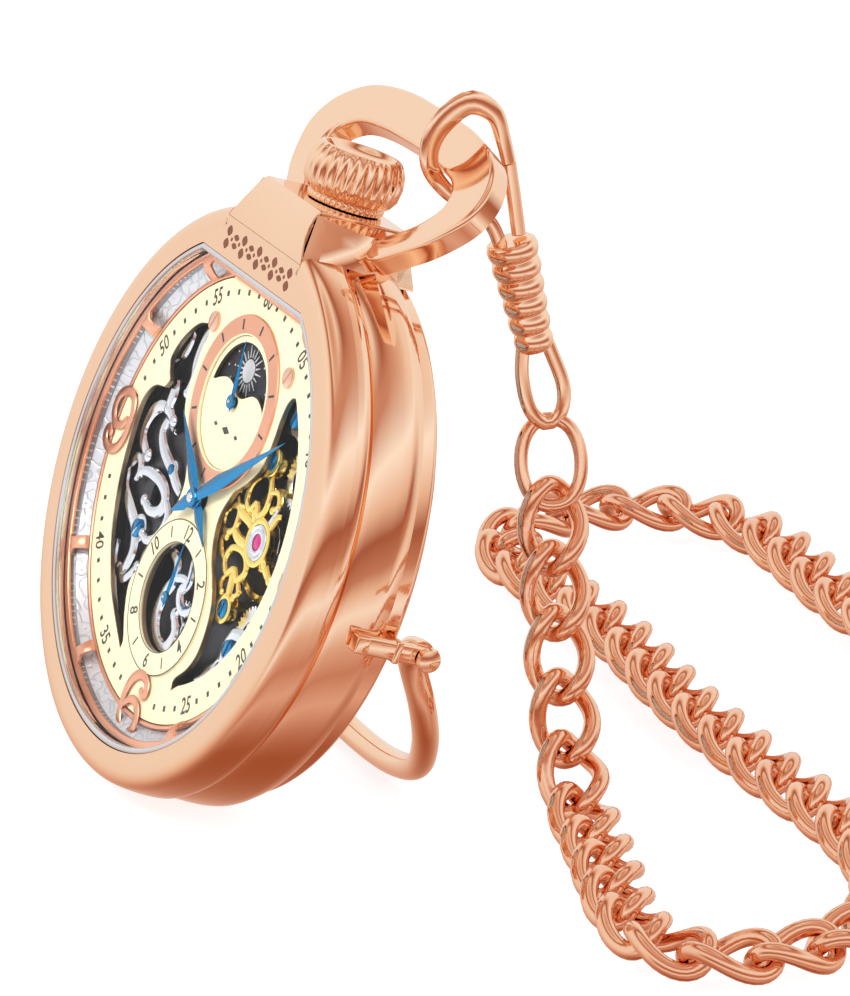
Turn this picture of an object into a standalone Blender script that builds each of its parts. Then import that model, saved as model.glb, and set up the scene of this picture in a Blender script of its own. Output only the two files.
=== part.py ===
"""An open-faced pocket watch that stands on its own folding stand, with its bow, clasp and curb chain.

Sizes are in millimetres; the makers below turn them into metres. The watch is modelled in its dial frame:
x points to 3 o'clock, y to 12 o'clock and z straight out of the dial, whose printed face is at z = 0. One
empty, dial_frame, leans that frame back and lifts it until the case and the stand's foot meet the floor.
"""

import math

import bmesh
import bpy
from mathutils import Euler, Matrix, Vector

METRES = 0.001
SEAM = 0.05         # left between fixed pieces that touch
RUNNING = 0.06      # radial room round anything that turns
LEAN = 20.5         # how far the standing watch leans back, degrees
FLAT = 0.12         # how deep the two flats that it stands on are cut
SET_BACK = -6.114   # puts the origin under the middle of the standing watch

# Case
CASE_RADIUS = 24.2
MID_RADIUS = 24.05
MID_DEPTH = 6.6
MID_BORE = 21.9
BEZEL_TOP = 2.35
BEZEL_FACE = 22.8
REAR_RADIUS = 22.7
REAR_DEPTH = 2.15
CHORD = 18.7        # the flat across the top of the front opening
GLASS_RADIUS = 20.6
GLASS_RIM = 0.5
GLASS = 0.75
GLASS_SEAT = 1.3
LEDGE = 0.3
REAR_GLASS = 18.2
REAR_LIP = 17.4

# Pendant, winding crown and bow
STEM_DEPTH = 3.56   # the stem's axis below the dial face
STEM_RADIUS = 0.7
PENDANT_FOOT = 21.95
PENDANT_TOP = 26.1
PENDANT_HALF = 7.2
LUG_HALF = 7.0
COLLAR_HEIGHT = 0.6
CROWN_RADIUS = 4.1
CROWN_HEIGHT = 4.0
CROWN_RIBS = 28
BOW_Y = 24.25
BOW_DEPTH = 3.8
BOW_BACK = 30.0     # how far the bow lies back from the watch's upright line, degrees
BOW_THICK = 1.9
BOW_PIN = 0.6
BOW_END = 8.5

# Stand
STAND_Y = -2.8
STAND_LENGTH = 18.1
STAND_WIRE = 1.1
STAND_DEPTH = MID_DEPTH + REAR_DEPTH + STAND_WIRE + SEAM    # the folded wire just clears the back
STAND_HALF = 24.0
STAND_PIN = 0.5
BRACKET = 0.9
BRACKET_HALF = 0.8

# Dial
DIAL_RADIUS = 18.4
DIAL_INNER = 15.2
DIAL_THICK = 0.4
TRIM = 0.4
FLANGE_OUTER = 21.1
FLANGE_TOP = 1.0
FLANGE_DEPTH = 1.2
UPPER_Y = 8.4
UPPER_OUTER = 7.2
UPPER_INNER = 5.55
UPPER_HUB = 8.4
LOWER_Y = -8.5
LOWER_OUTER = 6.47
LOWER_INNER = 4.5
RING_THICK = 0.18
DIAL_SCREW_X = 7.5
DIAL_SCREW_Y = 12.8
DIAL_SCREW = 0.85

# Hands
HOUR_LENGTH = 8.9
HOUR_TAIL = 4.8
HOUR_WIDTH = 1.15
HOUR_ANGLE = 308
MINUTE_LENGTH = 14.9
MINUTE_TAIL = 3.8
MINUTE_WIDTH = 1.0
MINUTE_ANGLE = 54
SMALL_HAND = 5.1
SMALL_TAIL = 0.9
SMALL_POST = 0.33
HAND_THICK = 0.16
HOUR_LEVEL = 0.55
MINUTE_LEVEL = 0.9
ARBOR = 0.35

# Movement
MOVEMENT_RADIUS = 18.7
PLATE_TOP = 2.3
PLATE_THICK = 1.1
BRIDGE_TOP = 0.9
BRIDGE_THICK = 0.45
BALANCE_X = 10.1
BALANCE_Y = -0.1
BALANCE_RADIUS = 4.6
TRAIN_TOP = 3.65
TRAIN_BRIDGE = 4.75
ROTOR_TOP = 6.3
ROTOR_RADIUS = 17.0
SCREW = 0.8
COCK_FOOT_X = -1.9    # the cock bows round the balance: its feet stand this far to its left
COCK_FOOT_Y = 6.3

# Chain: the clasp's turning points, and the chain's own line from the clasp to its bar
WIRE = 0.6
CHAIN_WIDTH = 6.0
HOOK_TURN = (6.0, 20.4, 52.35)
GATE_TURN = (6.9, 24.6, 45.9)
BARREL_TOP = (7.0, 23.9, 45.1)
BARREL_FOOT = (7.6, 25.9, 35.8)
CHAIN_ROUTE = (
    (8.2, 26.9, 28.9), (9.6, 26.5, 25.6), (12.0, 25.4, 21.0), (15.0, 24.4, 14.8), (18.2, 23.5, 8.6),
    (22.6, 22.3, 4.3), (27.8, 20.9, 3.05), (33.7, 19.4, 3.0), (41.5, 16.9, 3.0), (48.5, 15.3, 3.0),
    (53.6, 17.0, 3.0), (56.3, 21.8, 3.0), (56.4, 27.4, 3.0), (53.6, 33.4, 3.0), (46.8, 37.6, 3.0),
    (37.2, 39.3, 3.0), (27.4, 39.2, 3.0), (16.1, 39.3, 3.0), (5.1, 39.9, 3.0), (-6.2, 41.2, 3.0),
    (-17.6, 41.4, 3.0), (-28.2, 40.4, 3.0), (-34.4, 43.6, 3.0), (-36.6, 50.0, 3.0), (-35.4, 56.8, 3.0),
    (-31.0, 61.8, 3.0), (-24.4, 63.6, 3.0), (-16.0, 63.2, 3.0), (-5.7, 62.4, 3.0), (6.0, 62.8, 3.0),
    (18.0, 64.4, 3.0), (30.0, 66.0, 3.0), (42.0, 65.6, 3.0), (53.0, 62.2, 3.0), (62.0, 56.0, 3.0),
    (70.0, 49.0, 3.0), (79.0, 44.6, 3.0), (89.0, 43.4, 3.0), (99.0, 44.4, 3.0),
)
T_BAR = 24.0

ROSE_GOLD = ("rose_gold", (0.86, 0.45, 0.30), 0.12, 1.0)
ROSE_DIAL = ("rose_dial", (0.80, 0.42, 0.29), 0.45, 0.5)
CREAM = ("cream_dial", (0.92, 0.87, 0.62), 0.5, 0.0)
STEEL = ("bright_steel", (0.72, 0.73, 0.75), 0.2, 1.0)
BLACK = ("dark_plate", (0.03, 0.03, 0.035), 0.4, 0.7)
BLUE = ("blued_steel", (0.01, 0.16, 0.38), 0.22, 0.9)
GOLD = ("gilt_brass", (0.80, 0.60, 0.16), 0.22, 1.0)
GLASS_CLEAR = ("clear_glass", (0.95, 0.97, 1.0), 0.03, 0.0)
RUBY = ("ruby", (0.65, 0.02, 0.16), 0.08, 0.0)

for left_over in list(bpy.data.objects):
    bpy.data.objects.remove(left_over, do_unlink=True)


def collection(name):
    made = bpy.data.collections.new(name)
    bpy.context.scene.collection.children.link(made)
    return made


PARTS = collection("pocket_watch")
TOOLS = collection("cutters")


# ---------------------------------------------------------------- makers


def finish(look):
    """The Principled material of this look, made once."""
    name, colour, roughness, metallic = look
    made = bpy.data.materials.get(name)
    if made is None:
        made = bpy.data.materials.new(name)
        made.use_nodes = True
        shader = made.node_tree.nodes["Principled BSDF"]
        shader.inputs["Base Color"].default_value = (*colour, 1)
        shader.inputs["Roughness"].default_value = roughness
        shader.inputs["Metallic"].default_value = metallic
    return made


def frame(name, at=(0, 0, 0), turn=(0, 0, 0), parent=None):
    """An empty that others are placed on: at in millimetres, turn in degrees."""
    made = bpy.data.objects.new(name, None)
    made.location = Vector(at) * METRES
    made.rotation_euler = Euler([math.radians(a) for a in turn])
    made.parent = parent
    TOOLS.objects.link(made)
    return made


def place(made, look, at, parent, smooth=True):
    """Puts a new object among the parts, or among the cutters if it has no look."""
    made.location = Vector(at) * METRES
    made.parent = parent
    if look is None:
        TOOLS.objects.link(made)
        made.hide_render = True
        made.display_type = "WIRE"
    else:
        PARTS.objects.link(made)
        made.data.materials.append(finish(look))
    if smooth and made.type == "MESH":
        made.data.shade_smooth()
        made.data.set_sharp_from_angle(angle=math.radians(35))
    return made


def mesh_object(name, shape, look, at, parent):
    """Turns a bmesh, in millimetres, into an object."""
    bmesh.ops.scale(shape, vec=(METRES,) * 3, verts=shape.verts)
    bmesh.ops.recalc_face_normals(shape, faces=shape.faces)
    data = bpy.data.meshes.new(name)
    shape.to_mesh(data)
    shape.free()
    return place(bpy.data.objects.new(name, data), look, at, parent)


def turned(name, profile, look, at=(0, 0, 0), parent=None, steps=48):
    """A profile of (radius, height) points, listed down its outer side, turned about z."""
    shape = bmesh.new()
    points = [shape.verts.new((r * METRES, 0, h * METRES)) for r, h in profile]
    for first, second in zip(points, points[1:]):
        shape.edges.new((first, second))
    if profile[0][0] > 0:
        shape.edges.new((points[-1], points[0]))
    data = bpy.data.meshes.new(name)
    shape.to_mesh(data)
    shape.free()
    made = place(bpy.data.objects.new(name, data), look, at, parent, smooth=False)
    screw = made.modifiers.new("turn", "SCREW")
    screw.steps = screw.render_steps = steps
    screw.use_merge_vertices = True
    screw.merge_threshold = METRES * 0.001
    screw.use_smooth_shade = True
    weld = made.modifiers.new("weld", "WELD")
    weld.merge_threshold = METRES * 0.001
    return made


def ring(name, inner, outer, low, high, look, at=(0, 0, 0), parent=None, steps=48):
    return turned(name, [(outer, high), (outer, low), (inner, low), (inner, high)], look, at, parent, steps)


def disc(name, radius, low, high, look, at=(0, 0, 0), parent=None, steps=48):
    return turned(name, [(0, high), (radius, high), (radius, low), (0, low)], look, at, parent, steps)


def meshed(curve_object):
    """A curve made a mesh, its loose caps welded to its sides."""
    bpy.context.view_layer.update()
    graph = bpy.context.evaluated_depsgraph_get()
    data = bpy.data.meshes.new_from_object(curve_object.evaluated_get(graph))
    shape = bmesh.new()
    shape.from_mesh(data)
    bmesh.ops.remove_doubles(shape, verts=shape.verts, dist=METRES * 0.002)
    bmesh.ops.recalc_face_normals(shape, faces=shape.faces)
    shape.to_mesh(data)
    shape.free()
    bpy.data.objects.remove(curve_object, do_unlink=True)
    return data


def plate(name, outlines, low, high, look, at=(0, 0, 0), parent=None):
    """Flat outlines of (x, y) points, the later ones holes, thickened from z = low to z = high."""
    curve = bpy.data.curves.new(name, "CURVE")
    curve.dimensions = "2D"
    curve.fill_mode = "BOTH"
    curve.extrude = (high - low) / 2 * METRES
    for outline in outlines:
        spline = curve.splines.new("POLY")
        spline.points.add(len(outline) - 1)
        for point, (x, y) in zip(spline.points, outline):
            point.co = (x * METRES, y * METRES, 0, 1)
        spline.use_cyclic_u = True
    holder = bpy.data.objects.new(name, curve)
    TOOLS.objects.link(holder)
    data = meshed(holder)
    data.transform(Matrix.Translation((0, 0, (high + low) / 2 * METRES)))
    data.materials.clear()
    return place(bpy.data.objects.new(name, data), look, at, parent, smooth=False)


def wire(name, points, radius, look, parent=None, closed=False, at=(0, 0, 0), sides=2, cut=False):
    """A round wire along its points. cut makes it a mesh that a Boolean can work on."""
    curve = bpy.data.curves.new(name, "CURVE")
    curve.dimensions = "3D"
    curve.bevel_depth = radius * METRES
    curve.bevel_resolution = sides
    curve.use_fill_caps = not closed
    spline = curve.splines.new("POLY")
    spline.points.add(len(points) - 1)
    for point, place_at in zip(spline.points, points):
        point.co = (*(Vector(place_at) * METRES), 1)
    spline.use_cyclic_u = closed
    if not cut:
        return place(bpy.data.objects.new(name, curve), look, at, parent)
    holder = bpy.data.objects.new(name, curve)
    TOOLS.objects.link(holder)
    data = meshed(holder)
    data.materials.clear()
    return place(bpy.data.objects.new(name, data), look, at, parent)


def rod(name, start, end, radius, look, parent=None, at=(0, 0, 0), sides=20, end_radius=None):
    """A straight round bar between two points."""
    start, end = Vector(start), Vector(end)
    along = end - start
    shape = bmesh.new()
    turn = along.to_track_quat("Z", "Y").to_matrix().to_4x4()
    bmesh.ops.create_cone(
        shape, cap_ends=True, segments=sides, radius1=radius, radius2=end_radius or radius,
        depth=along.length, matrix=Matrix.Translation((start + end) / 2) @ turn,
    )
    return mesh_object(name, shape, look, at, parent)


def block(name, low, high, look, parent=None, at=(0, 0, 0)):
    """A box between two corners."""
    low, high = Vector(low), Vector(high)
    shape = bmesh.new()
    bmesh.ops.create_cube(shape, size=1)
    bmesh.ops.scale(shape, vec=high - low, verts=shape.verts)
    bmesh.ops.translate(shape, vec=(low + high) / 2, verts=shape.verts)
    return mesh_object(name, shape, look, at, parent)


def combine(body, others, operation):
    for other in others:
        step = body.modifiers.new(other.name, "BOOLEAN")
        step.operation = operation
        step.object = other
    return body


def cut(body, *others):
    return combine(body, others, "DIFFERENCE")


def join(body, *others):
    return combine(body, others, "UNION")


def circle(x, y, radius, points=32):
    return [(x + radius * math.cos(a), y + radius * math.sin(a))
            for a in (math.tau * i / points for i in range(points))]


def arc(radius, start, end, points, x=0, y=0):
    """Points on an arc from one clock angle to another, in degrees clockwise from 12."""
    return [(x + radius * math.sin(math.radians(start + (end - start) * i / (points - 1))),
             y + radius * math.cos(math.radians(start + (end - start) * i / (points - 1))))
            for i in range(points)]


def opening(radius, chord, points=44):
    """A round opening with a flat across its top."""
    half = math.degrees(math.acos(chord / radius))
    return arc(radius, half, 360 - half, points)


def smooth(points, spacing, closed=False):
    """Points at an even spacing along one smooth curve through the given ones."""
    points = [Vector(p) for p in points]
    ends = points[-1:] + points + points[:2] if closed else [2 * points[0] - points[1]] + points
    if not closed:
        ends = ends + [2 * points[-1] - points[-2]]
    fine = []
    for before, here, after, later in zip(ends, ends[1:], ends[2:], ends[3:]):
        for i in range(12):
            t = i / 12
            fine.append(0.5 * (2 * here + (after - before) * t
                               + (2 * before - 5 * here + 4 * after - later) * t ** 2
                               + (3 * here - 3 * after + later - before) * t ** 3))
    if not closed:
        fine.append(points[-1])
    total = sum((b - a).length for a, b in zip(fine, fine[1:]))
    count = max(2, round(total / spacing))
    step, run, kept = total / count, 0.0, [fine[0]]
    for a, b in zip(fine, fine[1:]):
        length = (b - a).length
        while run + length >= step * len(kept) and len(kept) < count:
            kept.append(a.lerp(b, (step * len(kept) - run) / length))
        run += length
    return kept if closed else kept + [fine[-1]]


def mirrored(half):
    """An outline's right half, from top to bottom on the y axis or off it, with its left half added."""
    return list(half) + [(-x, y) for x, y in reversed(half) if abs(x) > 1e-6]


def clock(angle):
    """The z turn, in degrees, that points a piece's y axis at this clock angle."""
    return (0, 0, -angle)


# ---------------------------------------------------------------- frames

lean = math.radians(LEAN)
low_radius, low_depth = MID_RADIUS, MID_DEPTH - 1.3
CENTRE_HEIGHT = low_radius * math.cos(lean) + low_depth * math.sin(lean) - FLAT
DIAL = frame("dial_frame", at=(0, SET_BACK, CENTRE_HEIGHT), turn=(90 - LEAN, 0, 0))

pivot_height = CENTRE_HEIGHT + STAND_Y * math.cos(lean) - STAND_DEPTH * math.sin(lean)
stand_drop = pivot_height - STAND_WIRE + FLAT
STAND_OPEN = LEAN + math.degrees(math.acos(stand_drop / STAND_LENGTH))
STAND = frame("stand_pivot", at=(0, STAND_Y, -STAND_DEPTH), turn=(STAND_OPEN, 0, 0), parent=DIAL)
BOW = frame("bow_pivot", at=(0, BOW_Y, -BOW_DEPTH), turn=(-BOW_BACK, 0, 0), parent=DIAL)
STEM = frame("stem_axis", at=(0, 0, -STEM_DEPTH), turn=(-90, 0, 0), parent=DIAL)
CHAIN = frame("chain_set", at=(0, SET_BACK, 0))
BALANCE = frame("balance_axis", at=(BALANCE_X, BALANCE_Y, 0), parent=DIAL)

FLOOR = block("floor_cutter", (-60, -60, -20), (60, 60, 0), None)


# ---------------------------------------------------------------- case


def make_bezel():
    web = GLASS_SEAT - LEDGE
    bezel = turned("bezel", [
        (BEZEL_FACE, BEZEL_TOP), (BEZEL_FACE + 0.6, BEZEL_TOP - 0.18), (CASE_RADIUS - 0.35, BEZEL_TOP - 0.6),
        (CASE_RADIUS - 0.08, BEZEL_TOP - 1.2), (CASE_RADIUS, 0.5), (CASE_RADIUS - 0.1, SEAM),
        (FLANGE_OUTER + SEAM, SEAM), (FLANGE_OUTER + SEAM, web), (CHORD - 2, web), (CHORD - 2, BEZEL_TOP),
    ], ROSE_GOLD, parent=DIAL, steps=60)
    rim = GLASS_RADIUS + GLASS_RIM + 2 * SEAM
    seat = plate("glass_seat", [opening(rim, CHORD)], GLASS_SEAT, BEZEL_TOP + 1, None, parent=DIAL)
    ledge = plate("glass_ledge", [opening(rim - 0.9, CHORD - 0.8)], web - 1, BEZEL_TOP + 1, None, parent=DIAL)
    notch = block("pendant_notch", (-PENDANT_HALF - SEAM, PENDANT_FOOT - SEAM, -1),
                  (PENDANT_HALF + SEAM, CASE_RADIUS + 2, BEZEL_TOP + 1), None, DIAL)
    cut(bezel, seat, ledge, notch)


def make_front_glass():
    chord = CHORD - GLASS_RIM - 2 * SEAM
    outline = opening(GLASS_RADIUS, chord)
    plate("front_crystal", [outline], GLASS_SEAT + SEAM, GLASS_SEAT + GLASS, GLASS_CLEAR, parent=DIAL)
    rim_inner, rim_outer = opening(GLASS_RADIUS + SEAM, chord + SEAM), opening(
        GLASS_RADIUS + GLASS_RIM + SEAM, CHORD - SEAM)
    plate("crystal_rim", [rim_outer, rim_inner], GLASS_SEAT + SEAM, BEZEL_TOP - 0.08, STEEL, parent=DIAL)


def make_mid_case():
    mid = turned("mid_case", [
        (MID_RADIUS - 0.75, 0), (MID_RADIUS - 0.75, -0.55), (MID_RADIUS - 0.35, -0.85),
        (MID_RADIUS - 0.05, -MID_DEPTH / 2), (MID_RADIUS, 1.3 - MID_DEPTH), (MID_RADIUS - 0.2, 1.0 - MID_DEPTH),
        (REAR_RADIUS + 0.3, -MID_DEPTH), (MID_BORE, -MID_DEPTH), (MID_BORE, 0),
    ], ROSE_GOLD, parent=DIAL, steps=60)
    stem_hole = rod("mid_case_stem_hole", (0, MID_BORE - 2, -STEM_DEPTH), (0, MID_RADIUS + 2, -STEM_DEPTH),
                    STEM_RADIUS + RUNNING, None, DIAL)
    cut(mid, stem_hole, FLOOR)


def make_rear():
    top, low = -MID_DEPTH - SEAM, -MID_DEPTH - REAR_DEPTH
    turned("rear_bezel", [
        (REAR_RADIUS, top), (REAR_RADIUS, low + 0.9), (REAR_RADIUS - 0.9, low), (REAR_GLASS + 0.6, low),
        (REAR_LIP, low + 0.25), (REAR_LIP, low + 0.6), (REAR_GLASS + SEAM, low + 0.6), (REAR_GLASS + SEAM, top),
    ], ROSE_GOLD, parent=DIAL, steps=48)
    glass_low = low + 0.6 + SEAM
    disc("rear_crystal", REAR_GLASS, glass_low, glass_low + GLASS, GLASS_CLEAR, parent=DIAL, steps=48)


def make_pendant():
    """The neck: a block that narrows upwards, a lug each side for the bow, and a bore for the stem."""
    levels = ((21.0, PENDANT_HALF, BEZEL_TOP + 0.30, -8.3), (PENDANT_FOOT, PENDANT_HALF, BEZEL_TOP, -8.2),
              (24.1, 5.9, BEZEL_TOP - 0.75, -7.8), (PENDANT_TOP, 5.0, BEZEL_TOP - 1.5, -7.2))
    shape = bmesh.new()
    loops = []
    for y, half, front, back in levels:
        corners = [(half, y, front), (half, y, back), (-half, y, back), (-half, y, front)]
        loops.append([shape.verts.new(corner) for corner in corners])
    for lower, upper in zip(loops, loops[1:]):
        for i in range(4):
            shape.faces.new((lower[i], lower[(i + 1) % 4], upper[(i + 1) % 4], upper[i]))
    shape.faces.new(loops[0])
    shape.faces.new(loops[-1])
    pendant = mesh_object("pendant", shape, ROSE_GOLD, (0, 0, 0), DIAL)
    lug_bar = block("pendant_lugs", (-LUG_HALF, BOW_Y - 1.15, -BOW_DEPTH - 1.9),
                    (LUG_HALF, BOW_Y + 1.15, -BOW_DEPTH + 1.9), None, DIAL)
    root = disc("pendant_case_room", MID_RADIUS + SEAM, -12, 0.02, None, parent=DIAL, steps=60)
    front = block("pendant_bezel_room", (-20, 0, -0.5), (20, PENDANT_FOOT, 9), None, DIAL)
    bore = rod("pendant_stem_bore", (0, 18, -STEM_DEPTH), (0, PENDANT_TOP + 2, -STEM_DEPTH),
               STEM_RADIUS + RUNNING, None, DIAL)
    pin_bore = rod("pendant_pin_bore", (-12, BOW_Y, -BOW_DEPTH), (12, BOW_Y, -BOW_DEPTH),
                   BOW_PIN + SEAM, None, DIAL, sides=24)
    core = block("pendant_core", (-5.2, BOW_Y - 1.1, -BOW_DEPTH - 1.6),
                 (5.2, BOW_Y + 1.1, -BOW_DEPTH + 1.6), None, DIAL)
    cut(pin_bore, core)
    cut(join(pendant, lug_bar), root, front, bore, pin_bore)


def make_bow_pins():
    for side, sign in (("left", -1), ("right", 1)):
        pin = rod(f"bow_pin_{side}", (sign * 5.3, 0, 0), (sign * (BOW_END + 0.1), 0, 0), BOW_PIN, ROSE_GOLD,
                  at=(0, BOW_Y, -BOW_DEPTH), parent=DIAL, sides=24)
        head = rod(f"bow_pin_head_{side}", (sign * (BOW_END + 0.05), 0, 0), (sign * (BOW_END + 0.45), 0, 0), 0.9,
                   None, at=(0, BOW_Y, -BOW_DEPTH), parent=DIAL, sides=24)
        join(pin, head)


def make_crown():
    """Ribbed knob: a cylinder whose every other corner is drawn in, with a dished top and a blind bore."""
    base = PENDANT_TOP + SEAM + COLLAR_HEIGHT + SEAM
    shape = bmesh.new()
    rings = ((0.0, 0.86), (0.35, 0.97), (CROWN_HEIGHT * 0.5, 1.0), (CROWN_HEIGHT - 0.3, 0.93), (CROWN_HEIGHT, 0.80))
    loops = []
    for height, share in rings:
        loop = []
        for i in range(2 * CROWN_RIBS):
            angle = math.pi * i / CROWN_RIBS
            radius = CROWN_RADIUS * share - (0.22 if i % 2 else 0)
            loop.append(shape.verts.new((radius * math.cos(angle), radius * math.sin(angle), height)))
        loops.append(loop)
    count = 2 * CROWN_RIBS
    for lower, upper in zip(loops, loops[1:]):
        for i in range(count):
            shape.faces.new((lower[i], lower[(i + 1) % count], upper[(i + 1) % count], upper[i]))
    shape.faces.new(loops[0])
    shape.faces.new(loops[-1])
    crown = mesh_object("crown", shape, ROSE_GOLD, (0, 0, base), STEM)
    dish = turned("crown_dish", [(0, 1), (2.5, 1), (2.35, -0.35), (0, -0.35)], None,
                  at=(0, 0, base + CROWN_HEIGHT), parent=STEM, steps=32)
    bore = rod("crown_bore", (0, 0, -1), (0, 0, 2.2), STEM_RADIUS + SEAM, None, STEM, at=(0, 0, base))
    cut(crown, dish, bore)
    ring("crown_collar", STEM_RADIUS + RUNNING, 2.7, PENDANT_TOP + SEAM, PENDANT_TOP + SEAM + COLLAR_HEIGHT,
         ROSE_GOLD, parent=STEM, steps=36)
    rod("winding_stem", (0, 0, MOVEMENT_RADIUS + 0.6), (0, 0, base + 2.1), STEM_RADIUS, STEEL, STEM, sides=20)


def make_bow():
    outer = [(8.0, -1.0), (BOW_END + 0.3, -0.95), (10.2, 0.2), (13.0, 2.7), (15.0, 6.0), (14.4, 9.0),
             (11.4, 11.4), (6.2, 12.5), (0, 12.7)]
    inner = [(0, 8.8), (5.5, 8.6), (9.2, 7.9), (10.9, 6.1), (10.2, 3.9), (8.6, 2.2), (LUG_HALF + 0.35, 1.2),
             (LUG_HALF + 0.15, 0), (LUG_HALF + 0.15, -0.8), (8.0, -1.0)]

    def flowing(points):
        return [(p.x, p.y) for p in smooth([(x, y, 0) for x, y in points], 1.3)]

    half = flowing(outer)[:-1] + [outer[-1]]
    inside = flowing(inner)[:-1]
    outline = half + [(-x, y) for x, y in reversed(half[1:-1])]
    outline += [(-x, y) for x, y in reversed(inside[1:])] + inside
    bow = plate("bow", [outline], -BOW_THICK / 2, BOW_THICK / 2, ROSE_GOLD, parent=BOW)
    bore = rod("bow_pin_room", (-12, 0, 0), (12, 0, 0), BOW_PIN + RUNNING, None, BOW, sides=24)
    head_room = [rod(f"bow_head_room_{sign}", (sign * BOW_END, 0, 0), (sign * 11, 0, 0), 1.0, None, BOW)
                 for sign in (-1, 1)]
    cut(bow, bore, *head_room)


# ---------------------------------------------------------------- stand


def make_stand():
    half = [(STAND_HALF, 0, 0), (22.9, -0.05, 0), (21.4, -0.7, 0), (20.6, -2.6, 0), (19.7, -6.4, 0),
            (17.3, -10.9, 0), (12.9, -15.1, 0), (6.8, -17.4, 0), (0, -STAND_LENGTH, 0)]
    route = smooth(half + [(-x, y, z) for x, y, z in reversed(half[:-1])], 1.9)
    loop = wire("stand_loop", route, STAND_WIRE, ROSE_GOLD, parent=STAND, cut=True)
    pin_room = rod("stand_pin_room", (-30, 0, 0), (30, 0, 0), STAND_PIN + RUNNING, None, STAND)
    keep = block("stand_pin_room_core", (-22.6, -3, -3), (22.6, 3, 3), None, STAND)
    cut(pin_room, keep)
    cut(loop, pin_room, FLOOR)
    plate_inner = STAND_HALF + 3 * SEAM
    for side, sign in (("left", -1), ("right", 1)):
        faces = sorted((sign * plate_inner, sign * (plate_inner + BRACKET)))
        bracket = block(f"stand_bracket_{side}", (faces[0], STAND_Y - BRACKET_HALF, -STAND_DEPTH - BRACKET_HALF),
                        (faces[1], STAND_Y + BRACKET_HALF, 3.2 - MID_DEPTH), ROSE_GOLD, DIAL)
        hole = rod(f"bracket_pin_hole_{side}", (sign * 20, STAND_Y, -STAND_DEPTH),
                   (sign * 30, STAND_Y, -STAND_DEPTH), STAND_PIN + SEAM, None, DIAL)
        cut(bracket, hole)
        outside = plate_inner + BRACKET + SEAM
        pin = rod(f"stand_pin_{side}", (sign * 22.8, 0, 0), (sign * (outside + 0.2), 0, 0), STAND_PIN, ROSE_GOLD,
                  at=(0, STAND_Y, -STAND_DEPTH), parent=DIAL)
        head = rod(f"stand_pin_head_{side}", (sign * outside, 0, 0), (sign * (outside + 0.7), 0, 0), 1.0, None,
                   at=(0, STAND_Y, -STAND_DEPTH), parent=DIAL, end_radius=0.6)
        join(pin, head)


# ---------------------------------------------------------------- dial


def dial_cut_outs():
    """The two openings beside the small dials, as clock angles along their outer edge."""
    top = UPPER_OUTER + 0.5
    low = LOWER_OUTER + 0.75
    left = (arc(DIAL_INNER, 208, 321, 18)
            + arc(top, 285, 214, 9, 0, UPPER_Y)
            + arc(low, 326, 236, 10, 0, LOWER_Y))
    right = [(-x, y) for x, y in left]
    return left, right


def make_dial():
    low = -DIAL_THICK
    left, right = dial_cut_outs()
    holes = [left, right, circle(0, UPPER_Y, UPPER_INNER), circle(0, LOWER_Y, LOWER_INNER),
             circle(0, 0, 0.95, 16)]
    holes += [circle(sign * DIAL_SCREW_X, DIAL_SCREW_Y, 0.5, 12) for sign in (-1, 1)]
    plate("dial_plate", [circle(0, 0, DIAL_RADIUS, 56)] + holes, low, 0, CREAM, parent=DIAL)
    ring("dial_trim", DIAL_RADIUS + SEAM, DIAL_RADIUS + SEAM + TRIM, low, 0.1, ROSE_DIAL, parent=DIAL, steps=44)
    inner = DIAL_RADIUS + 2 * SEAM + TRIM
    turned("dial_flange", [
        (FLANGE_OUTER, FLANGE_TOP), (FLANGE_OUTER, -FLANGE_DEPTH), (inner, -FLANGE_DEPTH), (inner, -0.2),
        (GLASS_RADIUS - 0.3, FLANGE_TOP),
    ], STEEL, parent=DIAL, steps=44)
    for side, sign in (("left", -1), ("right", 1)):
        screw = disc(f"dial_screw_{side}", DIAL_SCREW, SEAM, 0.25, ROSE_DIAL,
                     at=(sign * DIAL_SCREW_X, DIAL_SCREW_Y, 0), parent=DIAL, steps=20)
        shank = rod(f"dial_screw_shank_{side}", (0, 0, -0.6), (0, 0, 0.1), 0.42, None, DIAL,
                    at=(sign * DIAL_SCREW_X, DIAL_SCREW_Y, 0), sides=12)
        slot = block(f"dial_screw_slot_{side}", (-1, -0.1, 0.15), (1, 0.1, 1), None, DIAL,
                     at=(sign * DIAL_SCREW_X, DIAL_SCREW_Y, 0))
        cut(join(screw, shank), slot)


def make_hour_frame():
    """The raised ring near the glass, with a spoke down to the dial at each hour that has no numeral."""
    top, low = FLANGE_TOP + 0.28, FLANGE_TOP + SEAM
    outer = opening(GLASS_RADIUS - 0.45, CHORD - 0.95)
    inner = opening(GLASS_RADIUS - 1.25, CHORD - 1.75)
    frame_ring = plate("hour_frame", [outer, inner], low, top, ROSE_DIAL, parent=DIAL)
    for hour in (1, 2, 3, 4, 5, 6, 7, 8, 9, 10, 11):
        half, reach = (1.2, 17.2) if hour % 3 == 0 else (0.4, DIAL_RADIUS + 0.2)
        spoke = block(f"spoke_{hour}", (-half, reach, low + 0.02), (half, GLASS_RADIUS - 0.8, top - 0.02), None, DIAL)
        spoke.rotation_euler = Euler([math.radians(a) for a in clock(30 * hour)])
        join(frame_ring, spoke)


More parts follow.
